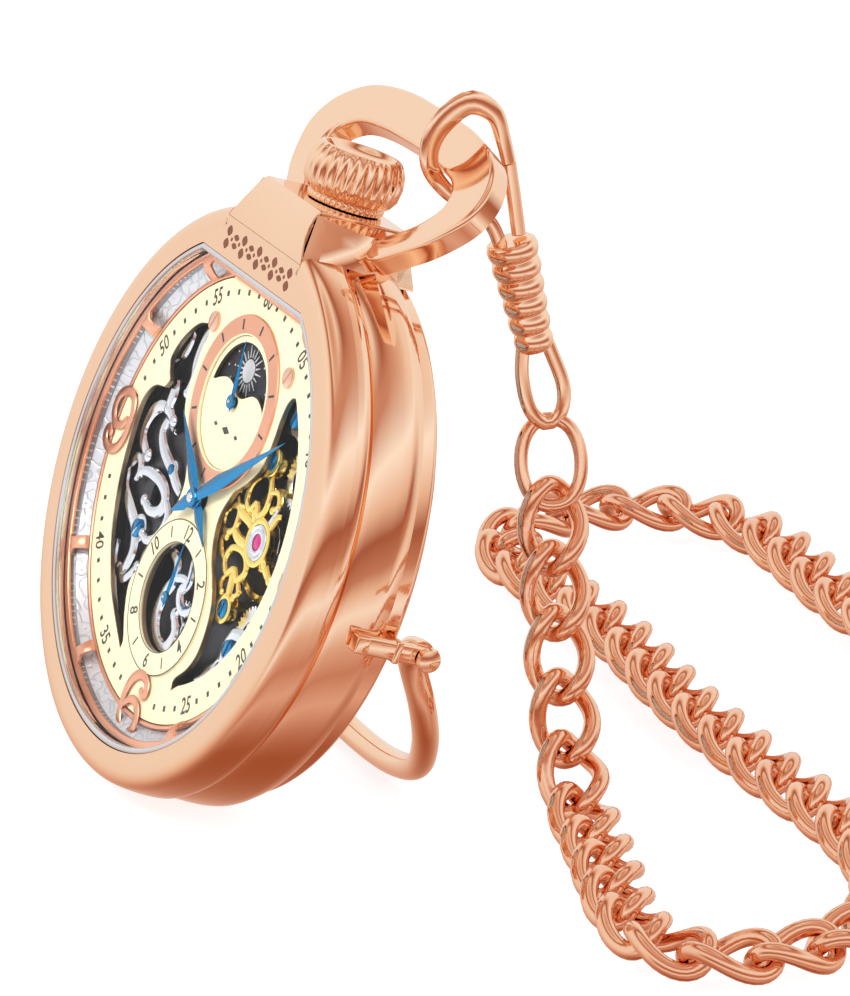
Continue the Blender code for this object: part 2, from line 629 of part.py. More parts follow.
def make_small_dials():
    ring("upper_ring", UPPER_INNER, UPPER_OUTER, SEAM, RING_THICK, ROSE_DIAL, at=(0, UPPER_Y, 0), parent=DIAL,
         steps=40)
    humps = [(3.4, 1.3), (2.4, 1.45), (1.4, 0.95), (0.9, 0.75)]
    window = arc(UPPER_INNER - 0.75, 278, 442, 22, 0, UPPER_Y)
    window += [(x, UPPER_HUB + y) for x, y in humps + [(-x, y) for x, y in reversed(humps)]]
    plate("upper_centre", [circle(0, UPPER_Y, UPPER_INNER - SEAM, 40), window, circle(0, UPPER_HUB, 0.45, 12)],
          -DIAL_THICK + 0.05, -0.05, CREAM, parent=DIAL)
    ring("sun_moon_disc", SMALL_POST + SEAM, UPPER_INNER - 0.35, -DIAL_THICK - 0.3, -DIAL_THICK - 0.05, BLACK,
         at=(0, UPPER_HUB, 0), parent=DIAL, steps=36)
    ring("lower_ring", LOWER_INNER, LOWER_OUTER, SEAM, RING_THICK, CREAM, at=(0, LOWER_Y, 0), parent=DIAL,
         steps=40)


def hand(name, length, tail, width, low, angle, at=(0, 0), hub=0.75, bore=ARBOR + RUNNING):
    """A lozenge hand: widest near its hub, with a short tail and a round eye."""
    outline = [(0, length), (width / 2, length * 0.28), (0.3, 0.4), (0.35, -tail * 0.7), (0, -tail)]
    blade = plate(name, [mirrored(outline)], low, low + HAND_THICK, BLUE, at=(*at, 0), parent=DIAL)
    eye = disc(name + "_eye", hub, low - 0.001, low + HAND_THICK + 0.001, None, at=(*at, 0), parent=DIAL, steps=20)
    hole = rod(name + "_hole", (0, 0, -5), (0, 0, 5), bore, None, DIAL, at=(*at, 0), sides=16)
    blade.rotation_euler = Euler([math.radians(a) for a in clock(angle)])
    return cut(join(blade, eye), hole)


def make_hands():
    hand("hour_hand", HOUR_LENGTH, HOUR_TAIL, HOUR_WIDTH, HOUR_LEVEL, HOUR_ANGLE, hub=0.95, bore=0.62)
    hand("minute_hand", MINUTE_LENGTH, MINUTE_TAIL, MINUTE_WIDTH, MINUTE_LEVEL, MINUTE_ANGLE)
    cap = MINUTE_LEVEL + HAND_THICK
    turned("cannon_pinion", [(0, cap + 0.16), (0.5, cap + 0.12), (0.5, cap + 0.03), (ARBOR, cap + 0.03),
                             (ARBOR, -PLATE_TOP - PLATE_THICK - 0.4), (0, -PLATE_TOP - PLATE_THICK - 0.4)],
           STEEL, parent=DIAL, steps=20)
    for name, y, angle in (("day_night_hand", UPPER_HUB, 350), ("dual_time_hand", LOWER_Y, 2)):
        small = hand(name, SMALL_HAND, SMALL_TAIL, 0.62, 0.27, angle, at=(0, y), hub=0.6, bore=0.12)
        post = rod(name + "_post", (0, 0, -0.75), (0, 0, 0.3), SMALL_POST, None, DIAL, at=(0, y, 0), sides=14)
        small.modifiers.clear()
        eye = bpy.data.objects[name + "_eye"]
        join(small, eye, post)
        bpy.data.objects.remove(bpy.data.objects[name + "_hole"], do_unlink=True)


# ---------------------------------------------------------------- movement


def wheel(name, x, y, radius, low, high, look, teeth=24, arms=4):
    """A toothed wheel with open arms, on its own arbor."""
    rim = [(r * math.cos(a), r * math.sin(a)) for i in range(teeth)
           for r, a in ((radius, math.tau * i / teeth), (radius - 0.25, math.tau * (i + 0.5) / teeth))]
    windows = []
    for i in range(arms):
        start = 360 * i / arms
        sweep = 360 / arms
        windows.append(arc(radius * 0.72, start + 8, start + sweep - 8, 5)
                       + arc(radius * 0.3, start + sweep - 22, start + 22, 3))
    made = plate(name, [rim] + windows, low, high, look, at=(x, y, 0), parent=DIAL)
    arbor = rod(name + "_arbor", (0, 0, low - 0.3), (0, 0, high + 0.3), 0.3, None, DIAL, at=(x, y, 0), sides=12)
    return join(made, arbor)


def make_movement():
    """Plate, bridges and the going train, between the dial and the winding rotor."""
    top, low = -PLATE_TOP, -PLATE_TOP - PLATE_THICK
    main = ring("main_plate", ARBOR + 0.15, MOVEMENT_RADIUS, low, top, BLACK, parent=DIAL, steps=36)
    well = rod("balance_staff_room", (0, 0, -10), (0, 0, 5), 0.5, None, BALANCE, sides=12)
    cut(main, well)
    holder_inner = MOVEMENT_RADIUS + SEAM
    holder = ring("movement_holder", holder_inner, MID_BORE - SEAM, -MID_DEPTH + 0.1, -FLANGE_DEPTH - SEAM, BLACK,
                  parent=DIAL, steps=36)
    cut(holder, rod("holder_stem_hole", (0, 15, -STEM_DEPTH), (0, 25, -STEM_DEPTH), STEM_RADIUS + RUNNING, None,
                    DIAL))
    bridge_low, bridge_high = -BRIDGE_TOP - BRIDGE_THICK, -BRIDGE_TOP
    scroll = (arc(15.6, 225, 322, 14) + [(-4.4, 6.6), (-5.6, 3.4), (-3.2, 1.6), (-3.3, -2.2), (-5.4, -4.2),
              (-7.2, -9.4), (-9.2, -11.4)])
    windows = [circle(-10.9, 4.6, 2.4, 20), circle(-9.6, -2.6, 1.9, 20), circle(-10.4, -8.9, 1.1, 16),
               circle(-7.0, 9.4, 1.6, 16)]
    plate("scroll_bridge", [scroll] + windows, bridge_low, bridge_high, STEEL, parent=DIAL)


def make_balance():
    """The balance, its spring, and the gilt cock with its jewel that holds its upper pivot."""
    high = -BRIDGE_TOP + 0.12
    rim = ring("balance_wheel", BALANCE_RADIUS - 0.5, BALANCE_RADIUS, -2.1, -1.75, GOLD, parent=BALANCE, steps=40)
    arm = block("balance_arm", (-BALANCE_RADIUS + 0.2, -0.3, -2.05), (BALANCE_RADIUS - 0.2, 0.3, -1.8), None, BALANCE)
    staff = rod("balance_staff", (0, 0, -2.6), (0, 0, high - BRIDGE_THICK - 0.08), 0.22, None, BALANCE, sides=12)
    join(rim, arm, staff)
    turns, inner, outer, per_turn = 4, 0.5, 2.3, 12
    coil = [(r * math.cos(a), r * math.sin(a), -1.55) for a, r in (
        (math.tau * i / per_turn, inner + (outer - inner) * i / (turns * per_turn))
        for i in range(turns * per_turn + 1))]
    wire("hairspring", coil, 0.06, STEEL, parent=BALANCE, sides=1)
    lobes = [(0, 6.6), (0.9, 6.3), (1.2, 5.4), (0.75, 4.5), (1.5, 3.9), (2.5, 4.1), (3.1, 3.2), (2.4, 2.4),
             (1.6, 2.2), (1.5, 1.3), (2.6, 0.6), (3.2, 0)]
    quarter_down = [(x, -y) for x, y in reversed(lobes[:-1])]
    outline = [(x + COCK_FOOT_X * (y / COCK_FOOT_Y) ** 2, y) for x, y in mirrored(lobes + quarter_down)]
    cock = plate("balance_cock", [outline, circle(0, 0, 0.78, 20)], high - BRIDGE_THICK, high, GOLD, parent=BALANCE)
    for i, y in enumerate((COCK_FOOT_Y, -COCK_FOOT_Y)):
        post = rod(f"cock_post_{i}", (COCK_FOOT_X, y, -PLATE_TOP + SEAM), (COCK_FOOT_X, y, high - 0.1), 0.6, None,
                   BALANCE, sides=16)
        join(cock, post)
    disc("balance_jewel", 0.72, high - BRIDGE_THICK, high + 0.1, RUBY, parent=BALANCE, steps=20)
    regulator = plate("regulator", [[(-0.3, 0.95), (0.3, 0.95), (0.16, 3.7), (-0.16, 3.7)]], high + SEAM, high + 0.22,
                      STEEL, parent=BALANCE)
    hoop = ring("regulator_hoop", 0.85, 1.3, high + SEAM, high + 0.22, None, parent=BALANCE, steps=24)
    join(regulator, hoop)
    regulator.rotation_euler = Euler((0, 0, math.radians(-25)))
    foot_x = BALANCE_X + COCK_FOOT_X
    places = ((foot_x, BALANCE_Y + COCK_FOOT_Y, high), (foot_x, BALANCE_Y - COCK_FOOT_Y, high),
              (-10.5, -5.9, -BRIDGE_TOP), (-8.0, 0.1, -BRIDGE_TOP))
    for name, (x, y, level) in zip(("cock_screw_upper", "cock_screw_lower", "bridge_screw_lower",
                                    "bridge_screw_upper"), places):
        screw = disc(name, SCREW, level + SEAM, level + 0.3, BLUE, at=(x, y, 0), parent=DIAL, steps=20)
        slot = block(name + "_slot", (-1, -0.11, level + 0.18), (1, 0.11, 1), None, DIAL, at=(x, y, 0))
        cut(screw, slot)


def make_train():
    top = -TRAIN_TOP
    wheel("centre_wheel", 0, 0, 5.2, top - 0.55, top - 0.3, GOLD)
    cannon = bpy.data.objects["centre_wheel_arbor"]
    cannon.scale = (1, 1, 0.2)
    cannon.location.z = (top - 0.42) * METRES * 0.8
    wheel("third_wheel", 6.2, -6.9, 3.6, top - 0.55, top - 0.3, GOLD)
    wheel("fourth_wheel", -1.6, -10.6, 3.4, top - 0.55, top - 0.3, GOLD)
    wheel("escape_wheel", 4.2, -13.7, 2.0, top - 0.55, top - 0.3, STEEL, teeth=15, arms=3)
    fork_outline = [(0.25, 2.3), (0.35, 0.5), (1.5, -0.6), (1.3, -1.0), (0.3, -0.45)]
    fork = plate("pallet_fork", [mirrored(fork_outline)], top - 0.55, top - 0.35, STEEL, at=(9.6, -11.4, 0),
                 parent=DIAL)
    fork_arbor = rod("pallet_arbor", (0, 0, top - 0.75), (0, 0, top - 0.15), 0.2, None, DIAL, at=(9.6, -11.4, 0),
                     sides=12)
    join(fork, fork_arbor)
    barrel = disc("mainspring_barrel", 5.6, top - 0.8, top - 0.15, GOLD, at=(-9.6, 6.0, 0), parent=DIAL, steps=40)
    barrel_arbor = rod("barrel_arbor", (0, 0, top - 1.0), (0, 0, top - 0.1), 0.8, None, DIAL, at=(-9.6, 6.0, 0))
    join(barrel, barrel_arbor)
    bridge_high, bridge_low = -TRAIN_BRIDGE - 0.05, -TRAIN_BRIDGE - 0.6
    train = disc("train_bridge", MOVEMENT_RADIUS - 0.3, bridge_low, bridge_high, STEEL, parent=DIAL, steps=36)
    posts = [rod(f"bridge_post_{angle}", (17 * math.sin(math.radians(angle)), 17 * math.cos(math.radians(angle)),
                                          bridge_high - 0.1),
                 (17 * math.sin(math.radians(angle)), 17 * math.cos(math.radians(angle)),
                  -PLATE_TOP - PLATE_THICK - SEAM), 0.8, None, DIAL, sides=12) for angle in (45, 180, 320)]
    join(train, *posts)


def make_rotor():
    """The self-winding weight: half a disc that always hangs down, on a short post."""
    high, low = -ROTOR_TOP, -ROTOR_TOP - 0.5
    outline = arc(ROTOR_RADIUS, 92, 268, 28) + [(-13.6, 0.6), (-12.6, -5.2), (-6.0, -7.4), (-2.2, -2.0), (-2.2, 1.4),
              (0, 2.4), (2.2, 1.4), (2.2, -2.0), (6.0, -7.4), (12.6, -5.2), (13.6, 0.6)]
    rotor = plate("winding_rotor", [outline, circle(0, 0, 0.9 + RUNNING, 20)], low, high, STEEL, parent=DIAL)
    weight = ring("rotor_weight", ROTOR_RADIUS - 3.0, ROTOR_RADIUS, low - 0.02, high + 0.35, None, parent=DIAL,
                  steps=36)
    trim_box = block("rotor_weight_cut", (-30, -0.8, -20), (30, 30, 20), None, DIAL)
    cut(weight, trim_box)
    join(rotor, weight)
    post = rod("rotor_post", (0, 0, -TRAIN_BRIDGE - 0.6 - SEAM), (0, 0, low - 0.1), 0.9, STEEL, DIAL, sides=20)
    cap = rod("rotor_cap", (0, 0, low - SEAM), (0, 0, low - 0.25), 1.4, None, DIAL, sides=20)
    join(post, cap)


# ---------------------------------------------------------------- clasp and chain


def make_clasp():
    """A wire hook with a sprung gate, a ribbed barrel below it and a ring for the chain."""
    turn_x, turn_y, turn_z = HOOK_TURN
    hook = [(7.0, 23.2, 44.6), (6.8, 21.6, 47.3), (6.5, 18.3, 49.8), (6.3, 17.0, 52.3), (6.2, 18.2, 55.2),
            (6.2, 20.9, 56.8), (6.3, 22.9, 55.4), (6.4, 23.6, 53.2), (6.6, 23.9, 51.5)]
    hook_wire = wire("clasp_hook", smooth(hook, 1.0), WIRE, ROSE_GOLD, CHAIN, cut=True)
    gate = [(6.6, 23.95, 51.35), (6.75, 24.3, 48.6), (6.95, 24.65, 45.55)]
    wire("clasp_gate", [Vector(p) - Vector(GATE_TURN) for p in smooth(gate, 1.4)], WIRE, ROSE_GOLD, CHAIN,
         at=GATE_TURN)
    along = Vector(BARREL_FOOT) - Vector(BARREL_TOP)
    length = along.length
    profile = [(0, 0)]
    ribs = 6
    for i in range(ribs):
        share = 2.15 - 0.55 * i / ribs
        start = -length * i / ribs
        profile += [(share - 0.18, start - 0.02), (share, start - 0.35), (share, start - length / ribs + 0.25)]
    profile += [(1.4, -length), (0, -length)]
    barrel = turned("clasp_barrel", profile, ROSE_GOLD, at=BARREL_TOP, parent=CHAIN, steps=24)
    barrel.rotation_euler = (-along).to_track_quat("Z", "Y").to_euler()
    gate_room = block("gate_room", (-0.75, -0.8, -0.75), (0.75, 1.6, 0.75), None, CHAIN, at=(6.95, 24.65, 45.3))
    cut(barrel, gate_room)
    join(hook_wire, rod("hook_root", (7.0, 23.2, 44.6), (7.02, 23.25, 44.2), WIRE, None, CHAIN))
    cut(hook_wire, barrel_room(along))
    loop = [(7.55, 25.0, 35.45), (7.7, 24.8, 33.0), (7.95, 25.6, 30.4), (8.05, 26.75, 29.55), (8.2, 27.9, 30.2),
            (8.0, 28.2, 32.6), (7.7, 26.9, 35.45)]
    loop_wire = wire("clasp_ring", smooth(loop, 1.0), WIRE, ROSE_GOLD, CHAIN, cut=True)
    cut(loop_wire, barrel_room(along))


def barrel_room(along):
    """A plain round room the size of the barrel, so that the wires stop at its ends."""
    made = bpy.data.objects.get("barrel_room")
    if made is None:
        made = rod("barrel_room", Vector(BARREL_TOP) - along.normalized() * SEAM,
                   Vector(BARREL_FOOT) + along.normalized() * SEAM, 3.0, None, CHAIN)
    return made


def make_chain():
    route = smooth(CHAIN_ROUTE, 5.2)
    start = route[0]
    wire("chain", [p - start for p in route], CHAIN_WIDTH / 2, ROSE_GOLD, CHAIN, at=start)
    end, before = route[-1], route[-2]
    out = (end - before).normalized()
    across = Vector((-out.y, out.x, 0))
    middle = end + out * (SEAM + 3.2)
    bar = rod("chain_t_bar", middle - across * T_BAR / 2, middle + across * T_BAR / 2, 1.3, ROSE_GOLD, CHAIN,
              sides=16)
    shank = rod("t_bar_shank", end + out * (2 * SEAM), middle, 0.9, None, CHAIN, sides=16)
    join(bar, shank)


make_bezel()
make_front_glass()
make_mid_case()
make_rear()
make_pendant()
make_bow_pins()
make_crown()
make_bow()
make_stand()
make_dial()
make_hour_frame()
make_small_dials()
make_hands()
make_movement()
make_balance()
make_train()
make_rotor()
make_clasp()
make_chain()
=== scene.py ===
# %% [markdown]
# # A skeleton pocket watch on its own stand
# This lesson dresses a mechanical model of a pocket watch. The model arrives as a frame: every
# moving part is already in place and to size, in metres. Here each visible part gets its fine
# shape, its finish and its light. Read it from the top, because each cell uses the ones before it.

# %% Load the frame
import math

import bmesh
import bpy
from mathutils import Matrix, Vector


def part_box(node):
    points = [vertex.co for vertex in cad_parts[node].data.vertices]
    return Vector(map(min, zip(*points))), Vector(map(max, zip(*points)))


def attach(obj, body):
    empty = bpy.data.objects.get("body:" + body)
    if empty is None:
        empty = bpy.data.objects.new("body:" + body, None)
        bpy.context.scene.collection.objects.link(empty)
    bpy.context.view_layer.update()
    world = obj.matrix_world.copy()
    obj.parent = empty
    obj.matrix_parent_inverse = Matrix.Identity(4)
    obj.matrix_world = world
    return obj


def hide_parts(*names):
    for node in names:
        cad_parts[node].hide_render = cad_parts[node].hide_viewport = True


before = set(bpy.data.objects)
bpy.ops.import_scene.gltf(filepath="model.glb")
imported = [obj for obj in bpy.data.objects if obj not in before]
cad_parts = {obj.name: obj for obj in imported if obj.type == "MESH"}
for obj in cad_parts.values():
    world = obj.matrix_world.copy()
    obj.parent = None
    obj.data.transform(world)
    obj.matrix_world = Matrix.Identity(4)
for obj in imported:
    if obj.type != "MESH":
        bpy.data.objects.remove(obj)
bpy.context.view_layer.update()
MM = 0.001

# %% [markdown]
# ## Working in the watch's own directions
# The watch leans back on its stand, so world axes are awkward to model in. A matrix fixes that.
# DIAL turns points written in millimetres, with x to 3 o'clock, y to 12 o'clock and z out of the
# glass, into world metres. The bow, the stand and the winding stem get such a matrix as well.

# %% Frames of reference
LEAN = 20.5         # degrees back from upright


def middle_of(node):
    low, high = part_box(node)
    return (low + high) / 2


def turn(degrees, axis):
    return Matrix.Rotation(math.radians(degrees), 4, axis)


def shift(x, y, z):
    return Matrix.Translation((x, y, z))


STEM_DEPTH = 3.56     # the winding stem's axis below the dial
BOW_Y, BOW_DEPTH = 24.25, 3.8
BOW_BACK = 30         # how far the bow lies back, degrees
STAND_Y, STAND_DEPTH = -2.8, 9.9
STAND_OPEN = 38.712   # how far the stand is opened, degrees
SET_BACK = -6.114     # puts the origin under the middle of the standing watch

lean_matrix = turn(90 - LEAN, "X")
trim_middle = middle_of("dial_trim")
dial_centre = trim_middle + lean_matrix @ Vector((0, 0, 0.15 * MM))
DIAL = Matrix.Translation(dial_centre) @ lean_matrix @ Matrix.Scale(MM, 4)
STEM = DIAL @ shift(0, 0, -STEM_DEPTH) @ turn(-90, "X")
BOW = DIAL @ shift(0, BOW_Y, -BOW_DEPTH) @ turn(-BOW_BACK, "X")
STAND = DIAL @ shift(0, STAND_Y, -STAND_DEPTH) @ turn(STAND_OPEN, "X")
CHAIN = Matrix.Translation((0, SET_BACK * MM, 0)) @ Matrix.Scale(MM, 4)
print("dial centre", [round(v / MM, 2) for v in dial_centre])

# %% [markdown]
# ## The camera
# A watch is shot from far off with a long lens, so that near and far edges keep the same scale.
# This camera looks from the right of the dial and a little above, with no lens shift.

# %% Camera
VIEW_AZIMUTH, VIEW_HEIGHT, VIEW_DISTANCE = 65.4, 20.31, 550
azimuth, height = math.radians(VIEW_AZIMUTH), math.radians(VIEW_HEIGHT)
toward_camera = Vector((math.sin(azimuth) * math.cos(height), -math.cos(azimuth) * math.cos(height),
                        math.sin(height)))
screen_right = Vector((math.cos(azimuth), math.sin(azimuth), 0))
screen_up = toward_camera.cross(screen_right)
lens = bpy.data.cameras.new("watch_camera")
lens.sensor_fit, lens.sensor_width, lens.sensor_height = "VERTICAL", 36, 36
lens.lens = 247.1
lens.clip_start, lens.clip_end = 0.01, 20
camera = bpy.data.objects.new("watch_camera", lens)
bpy.context.scene.collection.objects.link(camera)
camera_offset = 17.814 * screen_right + 0.186 * screen_up + VIEW_DISTANCE * toward_camera
camera.location = dial_centre + camera_offset * MM
camera.rotation_euler = toward_camera.to_track_quat("Z", "Y").to_euler()
bpy.context.scene.camera = camera
print("camera at", [round(v, 3) for v in camera.location])

# %% [markdown]
# ## Shader groups
# A polished metal is never one even roughness: wiping leaves faint cloudy streaks. Engraving is
# used on several plates of the movement. Each of these effects is a node group, built once, with
# named inputs, so that every material sets its own amounts. Groups only give values and colours;
# the shader itself stays in the material.

# %% Group helpers
def new_group(name, inputs, outputs):
    """An empty node group whose sockets are (name, kind, default)."""
    group = bpy.data.node_groups.new(name, "ShaderNodeTree")
    for label, kind, default in inputs:
        socket = group.interface.new_socket(name=label, in_out="INPUT", socket_type=kind)
        socket.default_value = default
    for label, kind in outputs:
        group.interface.new_socket(name=label, in_out="OUTPUT", socket_type=kind)
    return group, group.nodes.new("NodeGroupInput"), group.nodes.new("NodeGroupOutput")


def node(tree, kind, settings=None, **inputs):
    """A node with its settings, and with inputs given as values or as sockets to link from."""
    made = tree.nodes.new(kind)
    for key, value in (settings or {}).items():
        setattr(made, key, value)
    for key, value in inputs.items():
        label = key.replace("_", " ")
        socket = made.inputs[int(key[1:])] if key[0] == "i" and key[1:].isdigit() else made.inputs[label]
        if isinstance(value, bpy.types.NodeSocket):
            tree.links.new(value, socket)
        else:
            socket.default_value = value
    return made


FLOAT = "NodeSocketFloat"

# %% Group: wiped polish
POLISH, start, end = new_group(
    "wiped_polish",
    [("Size", FLOAT, 900.0), ("Roughness", FLOAT, 0.1), ("Cloud", FLOAT, 0.06), ("Scratch", FLOAT, 0.3)],
    [("Roughness", FLOAT), ("Height", FLOAT)])
place = node(POLISH, "ShaderNodeTexCoord")
cloud = node(POLISH, "ShaderNodeTexNoise", Vector=place.outputs["Object"], Scale=start.outputs["Size"],
             Detail=3.0)
stretched = node(POLISH, "ShaderNodeMapping", Vector=place.outputs["Object"], Scale=(1.0, 9.0, 2.0))
hair = node(POLISH, "ShaderNodeTexNoise", Vector=stretched.outputs["Vector"], Scale=2600.0, Detail=2.0)
centred = node(POLISH, "ShaderNodeMath", {"operation": "SUBTRACT"}, i0=cloud.outputs["Fac"], i1=0.5)
spread = node(POLISH, "ShaderNodeMath", {"operation": "MULTIPLY_ADD"}, i0=centred.outputs[0],
              i1=start.outputs["Cloud"], i2=start.outputs["Roughness"])
fine = node(POLISH, "ShaderNodeMath", {"operation": "MULTIPLY"}, i0=hair.outputs["Fac"],
            i1=start.outputs["Scratch"])
POLISH.links.new(spread.outputs[0], end.inputs["Roughness"])
POLISH.links.new(fine.outputs[0], end.inputs["Height"])

# %% Group: scroll engraving
ENGRAVE, start, end = new_group(
    "scroll_engraving", [("Size", FLOAT, 420.0), ("Width", FLOAT, 0.09)], [("Line", FLOAT),
                                                                           ("Height", FLOAT)])
place = node(ENGRAVE, "ShaderNodeTexCoord")
bend = node(ENGRAVE, "ShaderNodeTexNoise", Vector=place.outputs["Object"], Scale=260.0, Detail=1.0)
bent = node(ENGRAVE, "ShaderNodeVectorMath", {"operation": "MULTIPLY_ADD"}, i0=bend.outputs["Color"],
            i1=(0.004, 0.004, 0.004), i2=place.outputs["Object"])
cells = node(ENGRAVE, "ShaderNodeTexVoronoi", {"feature": "F1"}, Vector=bent.outputs[0],
             Scale=start.outputs["Size"])
rings = node(ENGRAVE, "ShaderNodeMath", {"operation": "MULTIPLY"}, i0=cells.outputs["Distance"], i1=15.0)
waves = node(ENGRAVE, "ShaderNodeMath", {"operation": "SINE"}, i0=rings.outputs[0])
cut = node(ENGRAVE, "ShaderNodeMapRange", i0=waves.outputs[0], i1=0.55, i2=0.95, i3=0.0, i4=1.0)
depth = node(ENGRAVE, "ShaderNodeMath", {"operation": "SUBTRACT"}, i0=1.0, i1=cut.outputs[0])
ENGRAVE.links.new(cut.outputs[0], end.inputs["Line"])
ENGRAVE.links.new(depth.outputs[0], end.inputs["Height"])
print("groups:", [g.name for g in bpy.data.node_groups])

# %% [markdown]
# ## The metals
# All the metals are the Principled shader with Metallic at 1. What sets them apart is the base
# colour, which for a metal is the colour of its reflection, and the roughness from the polish
# group. A hair of bump breaks up reflections that would otherwise look computed.

# %% Metal materials
def new_material(name):
    made = bpy.data.materials.new(name)
    made.use_nodes = True
    tree = made.node_tree
    return made, tree, tree.nodes["Principled BSDF"]


def group_node(tree, group, **inputs):
    made = tree.nodes.new("ShaderNodeGroup")
    made.node_tree = group
    for key, value in inputs.items():
        made.inputs[key].default_value = value
    return made


def metal(name, colour, roughness, cloud=0.05, scratch=0.3, size=900.0, bump=0.02, shade=None):
    """A polished metal; shade is a second colour that drifts in softly."""
    made, tree, shader = new_material(name)
    shader.inputs["Metallic"].default_value = 1
    polish = group_node(tree, POLISH, Size=size, Roughness=roughness, Cloud=cloud, Scratch=scratch)
    tree.links.new(polish.outputs["Roughness"], shader.inputs["Roughness"])
    relief = node(tree, "ShaderNodeBump", Strength=bump, Distance=0.00002, Height=polish.outputs["Height"])
    tree.links.new(relief.outputs["Normal"], shader.inputs["Normal"])
    place = node(tree, "ShaderNodeTexCoord")
    drift = node(tree, "ShaderNodeTexNoise", Vector=place.outputs["Object"], Scale=160.0, Detail=1.0)
    mix = node(tree, "ShaderNodeMix", {"data_type": "RGBA"}, i0=drift.outputs["Fac"],
               i6=(*colour, 1), i7=(*(shade or colour), 1))
    tree.links.new(mix.outputs[2], shader.inputs["Base Color"])
    return made


ROSE = metal("polished_rose_gold", (0.965, 0.655, 0.445), 0.07, 0.04, 0.3, shade=(0.955, 0.625, 0.415))
LINK = metal("link_rose_gold", (0.95, 0.60, 0.39), 0.09, 0.05, 0.3, shade=(0.88, 0.47, 0.30))
ROSE_SATIN = metal("satin_rose", (0.92, 0.48, 0.31), 0.36, 0.1, 1.0, 1400, 0.15, shade=(0.80, 0.37, 0.23))
STEEL = metal("bright_steel", (0.78, 0.79, 0.81), 0.2, 0.12, 0.6, 1200, 0.1, shade=(0.66, 0.67, 0.70))
DARK = metal("black_plate", (0.035, 0.036, 0.042), 0.36, 0.15, 1.0, 1500, 0.25, shade=(0.07, 0.07, 0.08))
BLUED = metal("blued_steel", (0.015, 0.26, 0.52), 0.2, 0.06, 0.4, 900, 0.03, shade=(0.01, 0.20, 0.45))
GILT = metal("gilt_brass", (0.98, 0.76, 0.22), 0.16, 0.08, 0.5, 1200, 0.08, shade=(0.93, 0.64, 0.14))
# Dull dark gilt for the walls of the dial's openings: painted shade, darker than their bare metal.
WALL_PAINTED_SHADE = metal("gilt_wall_painted_shade", (0.42, 0.33, 0.20), 0.35, 0.1, 0.8, 1500, 0.1, shade=(0.30, 0.23, 0.14))
print("metals made")

# %% Lacquer, print, engraved plate, glass and ruby
def lacquer(name, colour, shade):
    """Cream lacquer over brass: a soft tone drift and the grain of a sprayed coat."""
    made, tree, shader = new_material(name)
    place = node(tree, "ShaderNodeTexCoord")
    drift = node(tree, "ShaderNodeTexNoise", Vector=place.outputs["Object"], Scale=120.0, Detail=2.0)
    grain = node(tree, "ShaderNodeTexNoise", Vector=place.outputs["Object"], Scale=5200.0, Detail=2.0)
    mix = node(tree, "ShaderNodeMix", {"data_type": "RGBA"}, i0=drift.outputs["Fac"], i6=(*colour, 1),
               i7=(*shade, 1))
    tree.links.new(mix.outputs[2], shader.inputs["Base Color"])
    relief = node(tree, "ShaderNodeBump", Strength=0.12, Distance=0.00002, Height=grain.outputs["Fac"])
    tree.links.new(relief.outputs["Normal"], shader.inputs["Normal"])
    shader.inputs["Roughness"].default_value = 0.42
    return made


CREAM = lacquer("cream_lacquer", (0.92, 0.82, 0.53), (0.89, 0.78, 0.48))
INK = lacquer("black_print", (0.012, 0.011, 0.012), (0.02, 0.018, 0.02))

ENGRAVED, tree, shader = new_material("engraved_silver")
lines = group_node(tree, ENGRAVE, Size=700.0)
polish = group_node(tree, POLISH, Size=1100.0, Roughness=0.34, Cloud=0.2, Scratch=1.0)
tint = node(tree, "ShaderNodeMix", {"data_type": "RGBA"}, i0=lines.outputs["Line"], i6=(0.66, 0.68, 0.71, 1),
            i7=(0.54, 0.56, 0.59, 1))
relief = node(tree, "ShaderNodeBump", Strength=0.5, Distance=0.00005, Height=lines.outputs["Height"])
tree.links.new(tint.outputs[2], shader.inputs["Base Color"])
tree.links.new(polish.outputs["Roughness"], shader.inputs["Roughness"])
tree.links.new(relief.outputs["Normal"], shader.inputs["Normal"])
shader.inputs["Metallic"].default_value = 0.7


def clear(name, colour, index):
    """Glass that lets the lamps' light straight through, as thin clear glass nearly does."""
    made, tree, shader = new_material(name)
    shader.inputs["Base Color"].default_value = (*colour, 1)
    shader.inputs["Transmission Weight"].default_value = 1
    shader.inputs["Roughness"].default_value = 0.0
    shader.inputs["IOR"].default_value = index
    path = node(tree, "ShaderNodeLightPath")
    through = node(tree, "ShaderNodeBsdfTransparent", Color=(*colour, 1))
    pick = node(tree, "ShaderNodeMixShader", i0=path.outputs["Is Shadow Ray"],
                i1=shader.outputs[0], i2=through.outputs[0])
    tree.links.new(pick.outputs[0], tree.nodes["Material Output"].inputs["Surface"])
    return made


GLASS = clear("crystal_glass", (0.995, 0.998, 1.0), 1.08)

# %% [markdown]
# ## Makers
# Most parts of a watch are turned, cut from plate or bent from wire, so three makers cover them.
# lathe spins a profile, slab fills outlines and gives them thickness with a rounded edge, and
# sweep extrudes one ring of points along a line of matrices. They all work in millimetres.

# %% Makers
def circle(x, y, radius, points=64):
    return [(x + radius * math.cos(a),
             y + radius * math.sin(a)) for a in (math.tau * i / points for i in range(points))]


def clock_point(radius, angle, x=0, y=0):
    """The point at this radius and this clock angle in degrees."""
    return (x + radius * math.sin(math.radians(angle)), y + radius * math.cos(math.radians(angle)))


def arc(radius, first, last, points, x=0, y=0):
    return [clock_point(radius, first + (last - first) * i / (points - 1), x, y) for i in range(points)]


